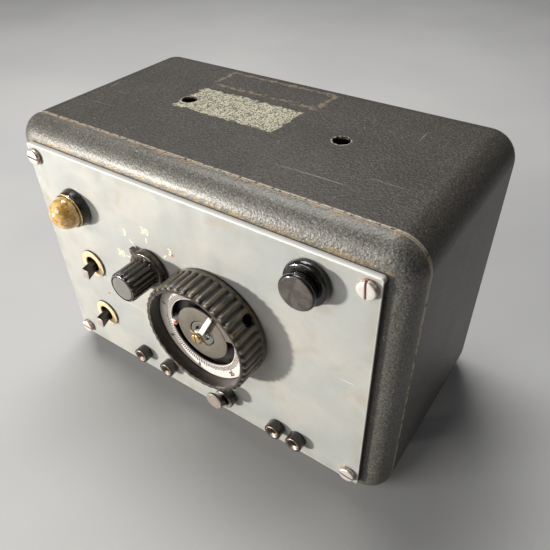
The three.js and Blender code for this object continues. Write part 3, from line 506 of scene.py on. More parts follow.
def amber_dome():
    s = Surface("amber_dome", "amber_glass", Transmission_Weight=0.08, IOR=1.5, Coat_Weight=1.0,
                Coat_Roughness=0.05)
    mottle = s.patches(0.34, 0.66, 4.6, 3, 0.55, 1.4)
    # Painted highlights: the depth patches lay pale spots over the amber.
    depth = s.patches(0.38, 0.66, 9, 2, 0.5, 0.8, s.stretched(shift=12.0))
    s.colour = s.mix(mottle, "be8b3c", "ecc37a")
    s.lay("ffde9f", depth, 0.6)
    s.lay("6b4a1c", s.specks(2.4, 0.6, 0.74, 5.0), 0.8)
    return s.close(
        s.step(mottle, 0, 1, 0.1, 0.2),
        (s.noise(3.8, 2, 0.5, 0.8), 0.2), (s.noise(0.8, 2, 0.5), 0.01))


def clear_glass():
    s = Surface("clear_glass", "clear_glass", Transmission_Weight=0.9, IOR=1.5)
    haze = s.patches(0.4, 0.7, 3, 3, 0.6)
    s.colour = s.mix(haze, "eef3f2", "cfd6d2")
    return s.close(s.step(haze, 0, 1, 0.03, 0.2), (s.noise(6, 2, 0.5), 0.03))


def scale_card():
    s = Surface("scale_card", "scale_white")
    age = s.patches(0.35, 0.7, 9, 4, 0.6, 0.5)
    s.colour = s.mix(age, "efe7df", "dfd2c6")
    s.lay("a58f78", s.specks(1.8, 0.68, 0.76, 3.0), 0.4)
    edge = s.step(s.radius(), SCALE_OUTER - 1.4, SCALE_OUTER - 0.1)
    s.lay("b09f8f", edge, 0.3)
    return s.close(s.step(age, 0, 1, 0.42, 0.6), (s.noise(0.4, 2, 0.6), 0.01), (age, 0.02))


def painted(name, slot, base, second, size=5.0, rough=0.5, metallic=0.0, speck="5a5047", speckle=0.4):
    """A plain paint with slow colour changes, specks and fine unevenness."""
    s = Surface(name, slot, Metallic=metallic)
    drift = s.patches(0.34, 0.7, size, 4, 0.62, 0.4)
    grain = s.noise(size / 9, 3, 0.6)
    s.colour = s.mix(drift, base, second)
    s.lay(speck, s.specks(size / 3, 0.68, 0.76, 7.0), speckle)
    return s.close(s.step(grain, 0.3, 0.7, rough - 0.06, rough + 0.1), (grain, 0.015), (drift, 0.03))


def washer_fibre():
    s = Surface("washer_fibre", "washer_beige", Coat_Weight=0.15, Coat_Roughness=0.3)
    drift = s.patches(0.35, 0.7, 3.6, 4, 0.62, 0.5)
    s.colour = s.mix(drift, "ecd3ab", "d9b583")
    outer = s.step(s.radius(), WASHER_OUTER - 0.55, WASHER_OUTER - 0.1)
    s.lay("6d5435", outer, s.patches(0.2, 0.55, 3, 3, 0.6))
    inner = s.step(s.radius(), WASHER_INNER + 0.9, WASHER_INNER + 0.3)
    s.lay("a07d4e", inner, 0.45)
    return s.close(s.step(drift, 0, 1, 0.34, 0.5), (s.noise(0.5, 3, 0.6), 0.015), (drift, 0.03))


# ---- mesh helpers ----

SMOOTH_ANGLE = math.radians(32)
WELD = 1e-7
TINY = 1e-6
FLAT_WEIGHT = 80


def turned(degrees, axis="Y"):
    return Matrix.Rotation(math.radians(degrees), 4, axis)


def seat(node, y=0.0):
    """The point in line with a CAD node's middle at a depth y; 0 is the panel's face."""
    x, z = spot(node)
    return x, y, z


def polish(mesh):
    """Outward faces, smooth shading and sharp edges where two faces meet at a clear angle."""
    work = bmesh.new()
    work.from_mesh(mesh)
    bmesh.ops.remove_doubles(work, verts=work.verts, dist=WELD)
    bmesh.ops.recalc_face_normals(work, faces=work.faces)
    work.to_mesh(mesh)
    work.free()
    mesh.shade_smooth()
    mesh.set_sharp_from_angle(angle=SMOOTH_ANGLE)


def placed(name, mesh, origin, turn=None):
    """An object for a mesh, at an origin in millimetres in the panel's frame."""
    made = bpy.data.objects.new(name, mesh)
    made.matrix_world = Matrix.Translation(PANEL + Vector(origin) * MM) @ (turn or Matrix.Identity(4))
    bpy.context.scene.collection.objects.link(made)
    return made


def raw_object(name, verts, faces, origin, turn=None):
    """A mesh object from points in millimetres about its origin."""
    mesh = bpy.data.meshes.new(name)
    mesh.from_pydata([Vector(v) * MM for v in verts], [], faces)
    polish(mesh)
    return placed(name, mesh, origin, turn)


def settle(made, surface, body, *nodes):
    """Gives a piece its material and its body, and hides the CAD nodes that it stands for."""
    made.data.materials.clear()
    made.data.materials.append(surface.material)
    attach(made, body)
    if nodes:
        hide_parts(*nodes)
    return made


def stand_for(node, name, shape, surface, origin, turn=None):
    """A piece that replaces one CAD node and rides where the node does."""
    return settle(raw_object(name, *shape, origin, turn), surface, NODE_BODY[node], node)


def eased(profile, radius, steps=3, closed=False):
    """The same outline with every corner rounded off by up to that radius."""
    count = len(profile)
    points = []
    for i, point in enumerate(profile):
        if not closed and i in (0, count - 1):
            points.append(point)
            continue
        before, here, after = (Vector(profile[j % count]) for j in (i - 1, i, i + 1))
        back, ahead = before - here, after - here
        reach = min(radius, back.length * 0.45, ahead.length * 0.45)
        if reach < 1e-4:
            points.append(point)
            continue
        start, end = here + back.normalized() * reach, here + ahead.normalized() * reach
        for k in range(steps + 1):
            t = k / steps
            points.append(tuple(start * (1 - t) ** 2 + here * 2 * t * (1 - t) + end * t * t))
    return points


def lathe(profile, sides=64, closed=False, reshape=None):
    """Points (radius, y) turned about Y; reshape(radius, y, angle) may change a point's radius."""
    verts, rings = [], []
    for radius, y in profile:
        if radius < TINY:
            rings.append([len(verts)] * sides)
            verts.append((0, y, 0))
            continue
        rings.append(list(range(len(verts), len(verts) + sides)))
        for i in range(sides):
            angle = 2 * math.pi * i / sides
            reach = reshape(radius, y, angle) if reshape else radius
            verts.append((reach * math.cos(angle), y, reach * math.sin(angle)))
    return verts, ring_faces(rings, closed)


def ring_faces(rings, closed):
    """Quads between neighbouring rings of equal length; a ring of one point makes triangles."""
    faces = []
    pairs = list(zip(rings, rings[1:] + rings[:1]))
    for low, high in pairs if closed else pairs[:-1]:
        for i in range(len(low)):
            j = (i + 1) % len(low)
            corners = [low[i], low[j], high[j], high[i]]
            face = [c for k, c in enumerate(corners) if c != corners[k - 1]]
            if len(face) > 2:
                faces.append(face)
    return faces


def turned_ring(node, name, profile, ease, steps, sides, surface, place=None):
    """A ring that replaces a CAD node: a closed outline with eased corners, turned about Y."""
    shape = lathe(eased(profile, ease, steps, closed=True), sides, closed=True)
    return stand_for(node, name, shape, surface, place or seat(node))


def loft(rings, closed=False, capped=True):
    """A skin through rings of points with equal counts."""
    verts = [point for ring in rings for point in ring]
    size = len(rings[0])
    index = [list(range(k * size, (k + 1) * size)) for k in range(len(rings))]
    faces = ring_faces(index, closed)
    if capped and not closed:
        faces += [index[0], index[-1]]
    return verts, faces


def rounded_outline(half_width, half_height, radius, steps=12):
    """Points (x, z) round a rectangle with rounded corners."""
    points = []
    for turn, (side, lift) in enumerate([(1, 1), (-1, 1), (-1, -1), (1, -1)]):
        for i in range(steps + 1):
            angle = math.radians(90 * (turn + i / steps))
            points.append((
                side * (half_width - radius) + radius * math.cos(angle),
                lift * (half_height - radius) + radius * math.sin(angle)))
    return points


def merged(*shapes):
    """Several (verts, faces) as one."""
    verts, faces = [], []
    for shape_verts, shape_faces in shapes:
        start = len(verts)
        verts += list(shape_verts)
        faces += [[start + i for i in face] for face in shape_faces]
    return verts, faces


def shifted(shape, x=0.0, y=0.0, z=0.0, turn=None):
    verts, faces = shape
    matrix = Matrix.Translation((x, y, z)) @ (turn or Matrix.Identity(4))
    return [tuple(matrix @ Vector(v)) for v in verts], faces


def closed_shape(work, edges, bevel):
    """The (verts, faces) of a bmesh once those edges are rounded."""
    if bevel:
        bmesh.ops.bevel(work, geom=edges, offset=bevel, segments=3, affect="EDGES", profile=0.5)
    work.verts.index_update()
    shape = [tuple(v.co) for v in work.verts], [[v.index for v in f.verts] for f in work.faces]
    work.free()
    return shape


def block(low, high, bevel=0.0):
    """A box between two corners, its edges rounded."""
    work = bmesh.new()
    corners = []
    for y in (low[1], high[1]):
        for x, z in ((low[0], low[2]), (high[0], low[2]), (high[0], high[2]), (low[0], high[2])):
            corners.append(work.verts.new((x, y, z)))
    front, back = corners[:4], corners[4:]
    work.faces.new(front)
    work.faces.new(back[::-1])
    for i in range(4):
        j = (i + 1) % 4
        work.faces.new((front[j], front[i], back[i], back[j]))
    return closed_shape(work, work.edges[:], bevel)


def prism(outline, front, back, bevel=0.0):
    """A flat outline of (x, z) points as a plate from front to back, its front edge rounded."""
    work = bmesh.new()
    face = work.faces.new([work.verts.new((x, back, z)) for x, z in outline])
    grown = bmesh.ops.extrude_face_region(work, geom=[face])["geom"]
    fresh = [e for e in grown if isinstance(e, bmesh.types.BMVert)]
    bmesh.ops.translate(work, verts=fresh, vec=(0, front - back, 0))
    rim = [e for e in work.edges if all(abs(v.co.y - front) < TINY for v in e.verts)]
    return closed_shape(work, rim, bevel)


def polar(reach, degrees):
    """The (x, z) at a distance, in degrees anticlockwise from +X as the panel is seen."""
    angle = math.radians(degrees)
    return reach * math.cos(angle), reach * math.sin(angle)


def strip(inner, outer, start, end, front, back, steps=24, bevel=0.0):
    """A plate along an arc between two radii and two angles."""
    stations = [start + (end - start) * i / steps for i in range(steps + 1)]
    returning = [end + (start - end) * i / steps for i in range(steps + 1)]
    outline = [polar(outer, a) for a in stations] + [polar(inner, a) for a in returning]
    return prism(outline, front, back, bevel)


def cylinder_tool(radius, start, end, sides=32, turn=None):
    """A cutter along Y from start to end."""
    return shifted(lathe([(0, start), (radius, start), (radius, end), (0, end)], sides), turn=turn)


def carve(made, *tools):
    """Cuts tools, each (shape, origin) or (shape, origin, turn), out of an object."""
    cutters = []
    for shape, *place in tools:
        cutter = raw_object("cutter", *shape, *place)
        modifier = made.modifiers.new("cut", "BOOLEAN")
        modifier.operation = "DIFFERENCE"
        modifier.solver = "EXACT"
        modifier.object = cutter
        cutters.append(cutter)
    graph = bpy.context.evaluated_depsgraph_get()
    mesh = bpy.data.meshes.new_from_object(made.evaluated_get(graph))
    made.modifiers.clear()
    made.data = mesh
    polish(mesh)
    for cutter in cutters:
        bpy.data.objects.remove(cutter)
    return made


def mark(made, rule):
    """Stores rule(point in millimetres) on every vertex, for the material to read."""
    stored = made.data.attributes.new(FLUTE, "FLOAT", "POINT")
    stored.data.foreach_set("value", [float(rule(v.co / MM)) for v in made.data.vertices])
    return made


def sheet_part(node, name, shape, tools, surface):
    """Bent sheet on the root body: holes cut, large flat faces kept flat beside the rounded edges."""
    made = carve(raw_object(name, *shape, (0, 0, 0)), *tools)
    modifier = made.modifiers.new("weighted_normals", "WEIGHTED_NORMAL")
    modifier.keep_sharp = True
    modifier.weight = FLAT_WEIGHT
    settle(made, surface, "root", node)


# ---- case, bezel and panel ----

HANDLE_SPREAD = 50.0
HANDLE_BEHIND = 72.0
HANDLE_HOLE = 4.7
SCREW_HOLE = 2.3
GLAND_HOLE = 7.3
FOOT_HOLE = 3.3
CASE_LIP = 0.4
SCREW_HEAD = 4.7
SCREW_SLOTS = {
    "panel_screw_top_left": 175, "panel_screw_top_right": 94,
    "panel_screw_bottom_left": 178, "panel_screw_bottom_right": 175,
}
REAR_SCREWS = ("rear_screw_left", "rear_screw_right")
FEET = ("front_left", "front_right", "rear_left", "rear_right")
SOCKETS = ("left_outer", "left_inner", "right_inner", "right_outer")
UPRIGHT = turned(-90, "X")


def case_ring(y, inset):
    """The case's section at a depth, drawn in by inset."""
    radius = max(CASE_CORNER - inset, 0.8)
    outline = rounded_outline(CASE_HALF_WIDTH - inset, CASE_HALF_HEIGHT - inset, radius, 14)
    return [(x, y, z) for x, z in outline]


def quarter(start, direction, radius, extra=0.0, steps=12):
    """(y, inset) stations of a quarter round that runs from start along y."""
    angles = [math.pi / 2 * i / steps for i in range(steps + 1)]
    return [
        (start + direction * radius * math.sin(a), extra + radius * (1 - math.cos(a)))
        for a in angles
    ]


def rear_case():
    """An outer and an inner skin, each closed at the rear and joined round the mouth."""
    straight = 60.0
    bend = CASE_REAR - REAR_ROUND
    outside = eased([(CASE_FRONT, CASE_LIP), (CASE_FRONT + CASE_LIP, 0.0), (straight, 0.0)], CASE_LIP, 3)
    outside += quarter(bend, 1, REAR_ROUND)
    inside = quarter(bend, 1, REAR_ROUND - SHEET, SHEET)[::-1]
    inside += [(straight, SHEET), (CASE_FRONT + CASE_LIP, SHEET), (CASE_FRONT, SHEET - 0.3)]
    outer = [case_ring(*station) for station in outside]
    inner = [case_ring(*station) for station in inside]
    verts, faces = merged(loft(outer, capped=False), loft(inner, capped=False))
    size = len(outer[0])
    rear = len(outer) * size
    mouth = len(verts) - size
    faces += [list(range(rear - size, rear)), list(range(rear, rear + size))]
    for i in range(size):
        j = (i + 1) % size
        faces.append([i, j, mouth + j, mouth + i])

    downward = UPRIGHT @ turned(180, "X")
    tools = [
        (cylinder_tool(HANDLE_HOLE, -8, 12, 48, downward),
         (side * HANDLE_SPREAD, HANDLE_BEHIND, CASE_HALF_HEIGHT))
        for side in (-1, 1)
    ]
    near, far = CASE_REAR - 10, CASE_REAR + 5       # ends of a cutter through the rear wall
    tools += [(cylinder_tool(SCREW_HOLE, near, far), seat(node)) for node in REAR_SCREWS]
    tools.append((cylinder_tool(GLAND_HOLE, near, far, 40), seat("cable_gland")))
    for corner in FEET:
        low, high = span(f"foot_{corner}")
        middle = (low + high) / 2
        stem = cylinder_tool(FOOT_HOLE, -6, 6, 24, UPRIGHT)
        tools.append((stem, (middle.x, middle.y, -CASE_HALF_HEIGHT)))
    sheet_part("rear_case", "case_shell", (verts, faces), tools, case_paint())


def front_bezel():
    flange = BEZEL_ROLL + 6.0
    sleeve = 2 * SHEET + 0.3
    inner = SHEET + 0.3
    stations = [(SEAM, 0.35), (SEAM - 0.12, 0.1), (SEAM - 0.45, 0.0)]
    stations += quarter(SEAM, -1, BEZEL_ROLL, steps=18)[1:]
    stations += [(BEZEL_FRONT, flange), (BEZEL_FRONT + SHEET, flange)]
    stations += quarter(SEAM, -1, BEZEL_ROLL - SHEET, SHEET, 10)[::-1][:8]
    stations += [(SEAM - 4, sleeve), (SEAM + 8, sleeve), (SEAM + 8, inner), (SEAM, inner)]
    shape = loft([case_ring(*station) for station in stations], closed=True)
    tools = [(cylinder_tool(SCREW_HOLE, 0, SEAM - 3, 20), seat(node)) for node in SCREW_SLOTS]
    sheet_part("front_bezel", "bezel_shell", shape, tools, bezel_paint())


PANEL_CORNER = 1.5
PANEL_EDGE = 0.45
THROUGH_HOLES = {
    "lamp_collar": 9.3, "fuse_body": 7.9, "dial_shaft": 4.3, "range_shaft": 3.3,
    "toggle_washer_upper": 6.3, "toggle_washer_lower": 6.3, "release_collar": 5.7,
    **{f"socket_sleeve_{which}": 4.3 for which in SOCKETS},
    **{node: SCREW_HOLE for node in SCREW_SLOTS},
}


def front_panel():
    def ring(y, inset):
        outline = rounded_outline(
            PANEL_HALF_WIDTH - inset, PANEL_HALF_HEIGHT - inset, PANEL_CORNER - inset, 6)
        return [(x, y, z) for x, z in outline]

    angles = [math.pi / 2 * i / 4 for i in range(5)]
    rise = [(PANEL_EDGE * (1 - math.sin(a)), PANEL_EDGE * (1 - math.cos(a))) for a in angles]
    rings = [ring(PANEL_BACK, 0)] + [ring(*station) for station in rise]
    tools = [
        (cylinder_tool(radius, -3, PANEL_BACK + 3), seat(node))
        for node, radius in THROUGH_HOLES.items()
    ]
    sheet_part("front_panel", "panel_plate", loft(rings), tools, panel_paint())


def slotted_screw(node, radius, height, slot_angle, surface, origin, shank, turn=None):
    """A cheese-head screw whose head's front lies at y = 0 of its own space."""
    crown = 0.25
    core = 1.95
    half = radius * 0.13
    depth = height * 0.5
    profile = eased(
        [(0, 0), (radius * 0.6, 0.05), (radius - 0.5, crown), (radius, crown + 0.7), (radius, height),
         (core, height), (core, height + shank), (0, height + shank)], 0.3, 3)
    slot = block((-radius - 1, -1, -half), (radius + 1, depth, half))
    slot = shifted(slot, turn=turned(-slot_angle))
    made = raw_object(f"{node}_head", *lathe(profile, 56), origin, turn)
    carve(made, (slot, origin, turn))
    direction = math.radians(slot_angle)

    def in_slot(point):
        across = abs(-point.x * math.sin(direction) + point.z * math.cos(direction))
        return across < half + 0.02 and point.y > depth - 0.05

    mark(made, in_slot)
    settle(made, surface, NODE_BODY[node], node)


def screws():
    plate = nickel()
    front_height, rear_height = 2.8, 1.8
    for node, slot_angle in SCREW_SLOTS.items():
        low, high = span(node)
        slotted_screw(node, SCREW_HEAD, front_height, slot_angle, plate, seat(node, low.y),
                      high.y - low.y - front_height)
    for node in REAR_SCREWS:
        low, high = span(node)
        slotted_screw(node, 4.0, rear_height, 60, plate, seat(node, high.y),
                      high.y - low.y - rear_height, turned(180, "X"))


def feet_and_gland():
    rubber = painted("foot_rubber", "rubber", "1b1b1a", "2b2a27", 3.0, 0.75, speck="6b6459")
    pad = 2.5
    for corner in FEET:
        node = f"foot_{corner}"
        low, high = span(node)
        tall = high.z - low.z
        profile = eased(
            [(0, 0.5), (2.2, 0.5), (2.9, 0), (7.4, 0), (8.0, 0.7), (7.7, pad), (3.0, pad), (3.0, pad + 2.3),
             (4.6, pad + 2.3), (3.0, tall), (0, tall)], 0.35, 3)
        flipped = [(radius, -height) for radius, height in profile]
        stand_for(node, f"{node}_pad", lathe(flipped, 48), rubber,
                  ((low.x + high.x) / 2, (low.y + high.y) / 2, low.z), UPRIGHT)
    inside = CASE_REAR - SHEET - 0.3
    outside = CASE_REAR + 0.2
    grommet = [
        (4.2, inside - 4), (8.5, inside - 4), (8.5, inside), (7.0, inside), (7.0, outside),
        (8.5, outside), (8.2, outside + 1.5), (5.2, outside + 1.75), (4.2, outside + 0.9)]
    turned_ring("cable_gland", "gland_ring", grommet, 0.5, 3, 56, rubber)


# ---- pilot lamp and fuse holder ----

LENS_RADIUS = 9.6
LENS_CENTRE = -7.3
LENS_WALL = 1.2
LENS_LUMP = 0.1


def dome(radius, reach, steps):
    """(radius, y) stations from the lens's front pole back over an angle."""
    points = [
        (radius * math.sin(i / steps * reach), LENS_CENTRE - radius * math.cos(i / steps * reach))
        for i in range(steps + 1)
    ]
    return [(0, points[0][1])] + points[1:]


def lamp(black, brass):
    place = seat("lamp_collar")
    collar = [(8.2, -4.8), (9.5, -4.8), (10.5, -4.4), (11.65, -0.3), (9.0, -0.3), (9.0, 14), (8.2, 14)]
    turned_ring("lamp_collar", "lamp_bezel", collar, 0.5, 4, 80, black)
    band = [(9.85, -6.0), (10.45, -6.0), (10.45, -5.1), (9.85, -5.1)]
    turned_ring("lamp_ring", "lamp_brass_ring", band, 0.25, 4, 80, brass, place)

    outer = dome(LENS_RADIUS, math.acos((LENS_CENTRE + 5.1) / LENS_RADIUS), 22)
    inner = dome(LENS_RADIUS - LENS_WALL, math.pi * 0.64, 16)
    neck = [(7.9, -5.0), (7.9, 4.0), (6.9, 4.0)]
    verts, faces = lathe(outer + neck + inner[::-1], 96)
    centre = Vector((0, LENS_CENTRE, 0))
    lumpy = []
    for vert in verts:
        point = Vector(vert)
        blob = noise.noise(point * 0.24) * LENS_LUMP if point.y < -5.4 else 0.0
        lumpy.append(tuple(point + (point - centre).normalized() * (blob - 0.14)))
    stand_for("lamp_lens", "lamp_dome", (lumpy, faces), amber_dome(), place)


def fuse_holder(black):
    flange = [
        (6.5, -4.6), (9.0, -4.6), (10.9, -4.1), (11.65, -2.6), (11.65, -0.3), (7.6, -0.3), (7.6, 49),
        (6.6, 49), (6.5, 46)]
    turned_ring("fuse_body", "fuse_flange", flange, 0.9, 5, 88, black)
    cap = [
        (0, -10.6), (4.5, -10.68), (7.6, -10.75), (8.7, -10.55), (9.3, -9.7), (9.15, -8.7), (8.0, -7.5),
        (7.5, -6.6), (7.5, -5.0), (6.1, -4.9), (6.1, 12), (3.6, 12), (3.6, 2), (0, 2)]
    shape = lathe(eased(cap, 0.55, 4), 88)
    stand_for("fuse_cap", "fuse_cap_knob", shape, fuse_bakelite(), seat("fuse_body"))


# ---- time dial ----

DIAL_RADIUS = 33.5
DIAL_FRONT = -18.6
DIAL_BACK = -1.4
DIAL_WELL = 29.9
DIAL_FLUTES = 42
DIAL_FLUTE_DEPTH = 1.15
DIAL_FLOOR = -6.8
DIAL_MIDDLE = (DIAL_X, 0, DIAL_Z)
SIDES_PER_FLUTE = 12
SCALE_PLANE = -11.5
SCALE_OUTER = 29.6
SLOT_OUTER = 21.4
SLOT_INNER = 16.3
BRIDGE_FROM, BRIDGE_TO = 12, 62
MARKER_ANGLE = 184
POINTER_ANGLE = 61
SET_SCREW_ANGLE = 35
SET_SCREW_Y = -4.6


def groove_share(angle, count):
    """0 on a ridge, 1 in the middle of the flute beside it."""
    wave = 0.5 - 0.5 * math.cos(angle * count)
    return wave ** 1.5


def dial_cup():
    flutes_end = DIAL_BACK - 2.0

    def fluted(radius, y, angle):
        if radius < DIAL_RADIUS - 1.7 or y > flutes_end:
            return radius
        fade = min(1.0, (flutes_end - y) / 1.2)
        return radius - DIAL_FLUTE_DEPTH * fade * groove_share(angle, DIAL_FLUTES)

    def flute_share(point):
        if math.hypot(point.x, point.z) < DIAL_RADIUS - 2.9 or point.y > flutes_end:
            return 0.3
        return groove_share(math.atan2(point.z, point.x), DIAL_FLUTES)

    ledge = SCALE_PLANE + 1.3
    land = DIAL_RADIUS - 2.4
    front = [
        (DIAL_RADIUS, DIAL_BACK), (DIAL_RADIUS, DIAL_BACK - 1.9), (DIAL_RADIUS - 0.15, DIAL_BACK - 2.1),
        (DIAL_RADIUS - 0.2, DIAL_BACK - 3.4), (DIAL_RADIUS - 0.2, -9.0), (DIAL_RADIUS - 0.2, -14.0),
        (DIAL_RADIUS - 0.25, DIAL_FRONT + 1.6), (DIAL_RADIUS - 0.6, DIAL_FRONT + 0.7),
        (DIAL_RADIUS - 1.5, DIAL_FRONT + 0.05), (DIAL_RADIUS - 2.0, DIAL_FRONT + 0.02),
        (DIAL_RADIUS - 2.1, DIAL_FRONT + 0.18), (DIAL_RADIUS - 2.3, DIAL_FRONT + 0.18),
        (land, DIAL_FRONT)]
    well = eased(
        [(land, DIAL_FRONT), (DIAL_WELL, DIAL_FRONT), (DIAL_WELL, ledge), (SLOT_OUTER + 1.6, ledge),
         (SLOT_OUTER + 1.6, DIAL_FLOOR), (4.3, DIAL_FLOOR), (4.3, DIAL_BACK)], 0.35, 3)
    shape = lathe(front + well[1:], DIAL_FLUTES * SIDES_PER_FLUTE, closed=True, reshape=fluted)
    made = raw_object("dial_grip", *shape, DIAL_MIDDLE)
    outward = turned(-SET_SCREW_ANGLE) @ turned(-90, "Z")
    bore = lathe([(0, 6.0), (2.1, 6.0), (2.1, 37.0), (0, 37.0)], 32)
    bore = shifted(bore, y=SET_SCREW_Y, turn=outward)
    sink = lathe([(0, 29.6), (2.4, 29.6), (3.7, 33.0), (3.9, 37.0), (0, 37.0)], 40)
    sink = shifted(sink, y=SET_SCREW_Y - 1.0, turn=outward)
    carve(made, (bore, DIAL_MIDDLE), (sink, DIAL_MIDDLE))
    mark(made, flute_share)
    settle(made, dial_bakelite(), NODE_BODY["dial_ring"], "dial_ring")


def numeral(text, x, z, front, size, turn_degrees, bold, name, surface, body):
    """A raised figure on the panel or dial, its middle at x, z, upright when turn is 0."""
    curve = bpy.data.curves.new(name, "FONT")
    curve.body = text
    curve.size = size * MM
    curve.extrude = 0.02 * MM
    curve.offset = bold * MM
    curve.align_x = "CENTER"
    curve.align_y = "CENTER"
    source = bpy.data.objects.new(name, curve)
    bpy.context.scene.collection.objects.link(source)
    bpy.context.view_layer.update()
    mesh = bpy.data.meshes.new_from_object(source.evaluated_get(bpy.context.evaluated_depsgraph_get()))
    bpy.data.objects.remove(source)
    made = placed(name, mesh, (x, front, z), turned(-turn_degrees) @ turned(90, "X"))
    settle(made, surface, body)


def ticks(name, rows, width, front, origin, surface, body):
    """Raised lines along radii; each row is (inner radius, outer radius, degrees)."""
    half = width / 2
    shapes = [
        shifted(block((inner, front, -half), (outer, front + INK_DEPTH, half)), turn=turned(-angle))
        for inner, outer, angle in rows
    ]
    settle(raw_object(name, *merged(*shapes), origin), surface, body)


INK_RISE = 0.06
INK_DEPTH = 0.16
SCALE_NUMBERS = {"0": 110, "1": 160, "2": 210, "5": 259, "25": 312, "30": 2}
SCALE_NUMBER_REACH = 26.9
TICK_STEP = 3
TICK_WIDTH = 0.62
LONG_TICK, MIDDLE_TICK, SHORT_TICK = 25.2, 24.9, 24.5


def dial_scale():
    body = NODE_BODY["dial_scale"]
    back = SCALE_PLANE + 1.0
    card = [(SLOT_OUTER, SCALE_PLANE), (SCALE_OUTER, SCALE_PLANE), (SCALE_OUTER, back), (SLOT_OUTER, back)]
    turned_ring("dial_scale", "scale_ring", card, 0.12, 2, 120, scale_card(), DIAL_MIDDLE)
    ink = painted("scale_ink", None, "14100e", "2a2320", 2.0, 0.55, speck="5d5148")
    front = SCALE_PLANE - INK_RISE
    rows = []
    for angle in range(0, 360, TICK_STEP):
        reach = LONG_TICK if angle % 45 == 0 else MIDDLE_TICK if angle % 15 == 0 else SHORT_TICK
        rows.append((SLOT_OUTER + 0.35, reach, angle))
    ticks("scale_ticks", rows, TICK_WIDTH, front, DIAL_MIDDLE, ink, body)
    for text, angle in SCALE_NUMBERS.items():
        x, z = polar(SCALE_NUMBER_REACH, angle)
        numeral(text, DIAL_X + x, DIAL_Z + z, front, 3.6, angle + 90, 0.16,
                f"scale_number_{text}", ink, body)


def dial_disc(steel):
    grey = painted(
        "disc_enamel", "disc_grey", "6b6459", "777064", 8.0, 0.42, 0.25, speck="55504a", speckle=0.5)
    back = SCALE_PLANE + 1.0
    hidden = DIAL_FLOOR - 0.3
    rim, bore = 13.0, 7.9
    outline = eased(
        [(bore, SCALE_PLANE), (SLOT_INNER, SCALE_PLANE), (SLOT_INNER, back), (rim, back), (rim, hidden),
         (bore, hidden)], 0.14, 2, closed=True)
    bridge = strip(SLOT_INNER - 0.6, SLOT_OUTER - 0.3, BRIDGE_FROM, BRIDGE_TO, SCALE_PLANE, back)
    plate = merged(lathe(outline, 112, closed=True), bridge)
    stand_for("dial_disc", "disc_plate", plate, grey, DIAL_MIDDLE)
    front = SCALE_PLANE + 0.2
    washer = [(4.6, front), (7.3, front), (7.3, hidden), (4.6, hidden)]
    turned_ring("dial_washer", "dial_washer_ring", washer, 0.2, 3, 64, steel, DIAL_MIDDLE)


def setting_marker(white, red):
    start, end = MARKER_ANGLE - 4.5, MARKER_ANGLE + 4.5
    inner, outer = SLOT_INNER + 0.3, SLOT_OUTER - 0.3
    hidden = strip(inner, SLOT_OUTER + 1.2, start, end, SCALE_PLANE + 1.9, DIAL_FLOOR - 0.3, 6)
    shown = strip(inner + 1.4, outer, start, end, SCALE_PLANE - 0.5, SCALE_PLANE + 2.0, 6, 0.2)
    stand_for("setting_marker", "marker_block", merged(hidden, shown), white, DIAL_MIDDLE)
    half = 0.95
    tip = [
        (inner + 0.1, 0), (inner + 1.9, half), (inner + 3.0, half), (inner + 3.0, -half),
        (inner + 1.9, -half)]
    wedge = prism(tip, SCALE_PLANE - 0.75, SCALE_PLANE - 0.3, 0.1)
    wedge = shifted(wedge, turn=turned(-MARKER_ANGLE))
    settle(raw_object("marker_tip", *wedge, DIAL_MIDDLE), red, NODE_BODY["setting_marker"])


def pointer(white, brass):
    front = -14.4
    screw_front = -16.9
    turn = turned(-POINTER_ANGLE)
    hand = prism([(0, 1.45), (19.0, 1.3), (20.0, 0.9), (20.0, -0.9), (19.0, -1.3), (0, -1.45)],
                 front, front + 0.8, 0.18)
    hub = eased(
        [(0, front + 0.1), (3.6, front + 0.1), (3.6, -12.2), (1.6, -12.2), (1.6, 18), (0, 18)], 0.2, 2)
    shape = merged(hand, lathe(hub, 40))
    stand_for("dial_pointer", "pointer_hand", shape, white, DIAL_MIDDLE, turn)
    wings = block((-0.7, front - 0.55, -5.5), (0.7, front + 0.4, 5.5), 0.15)
    made = raw_object("pointer_wings", *wings, DIAL_MIDDLE, turn)
    settle(made, brass, NODE_BODY["dial_pointer"])
    slotted_screw("hub_screw", 3.3, 1.6, 100, brass, (DIAL_X, screw_front, DIAL_Z), 1.0)


# ---- range knob ----

KNOB_GRIP = 8.9
KNOB_FRONT = -22.0
KNOB_GROOVE = 7.15
KNOB_FLUTES = 16
KNOB_FLUTE_DEPTH = 0.75
KNOB_SKIRT = -5.0
KNOB_ARROW_ANGLE = 135


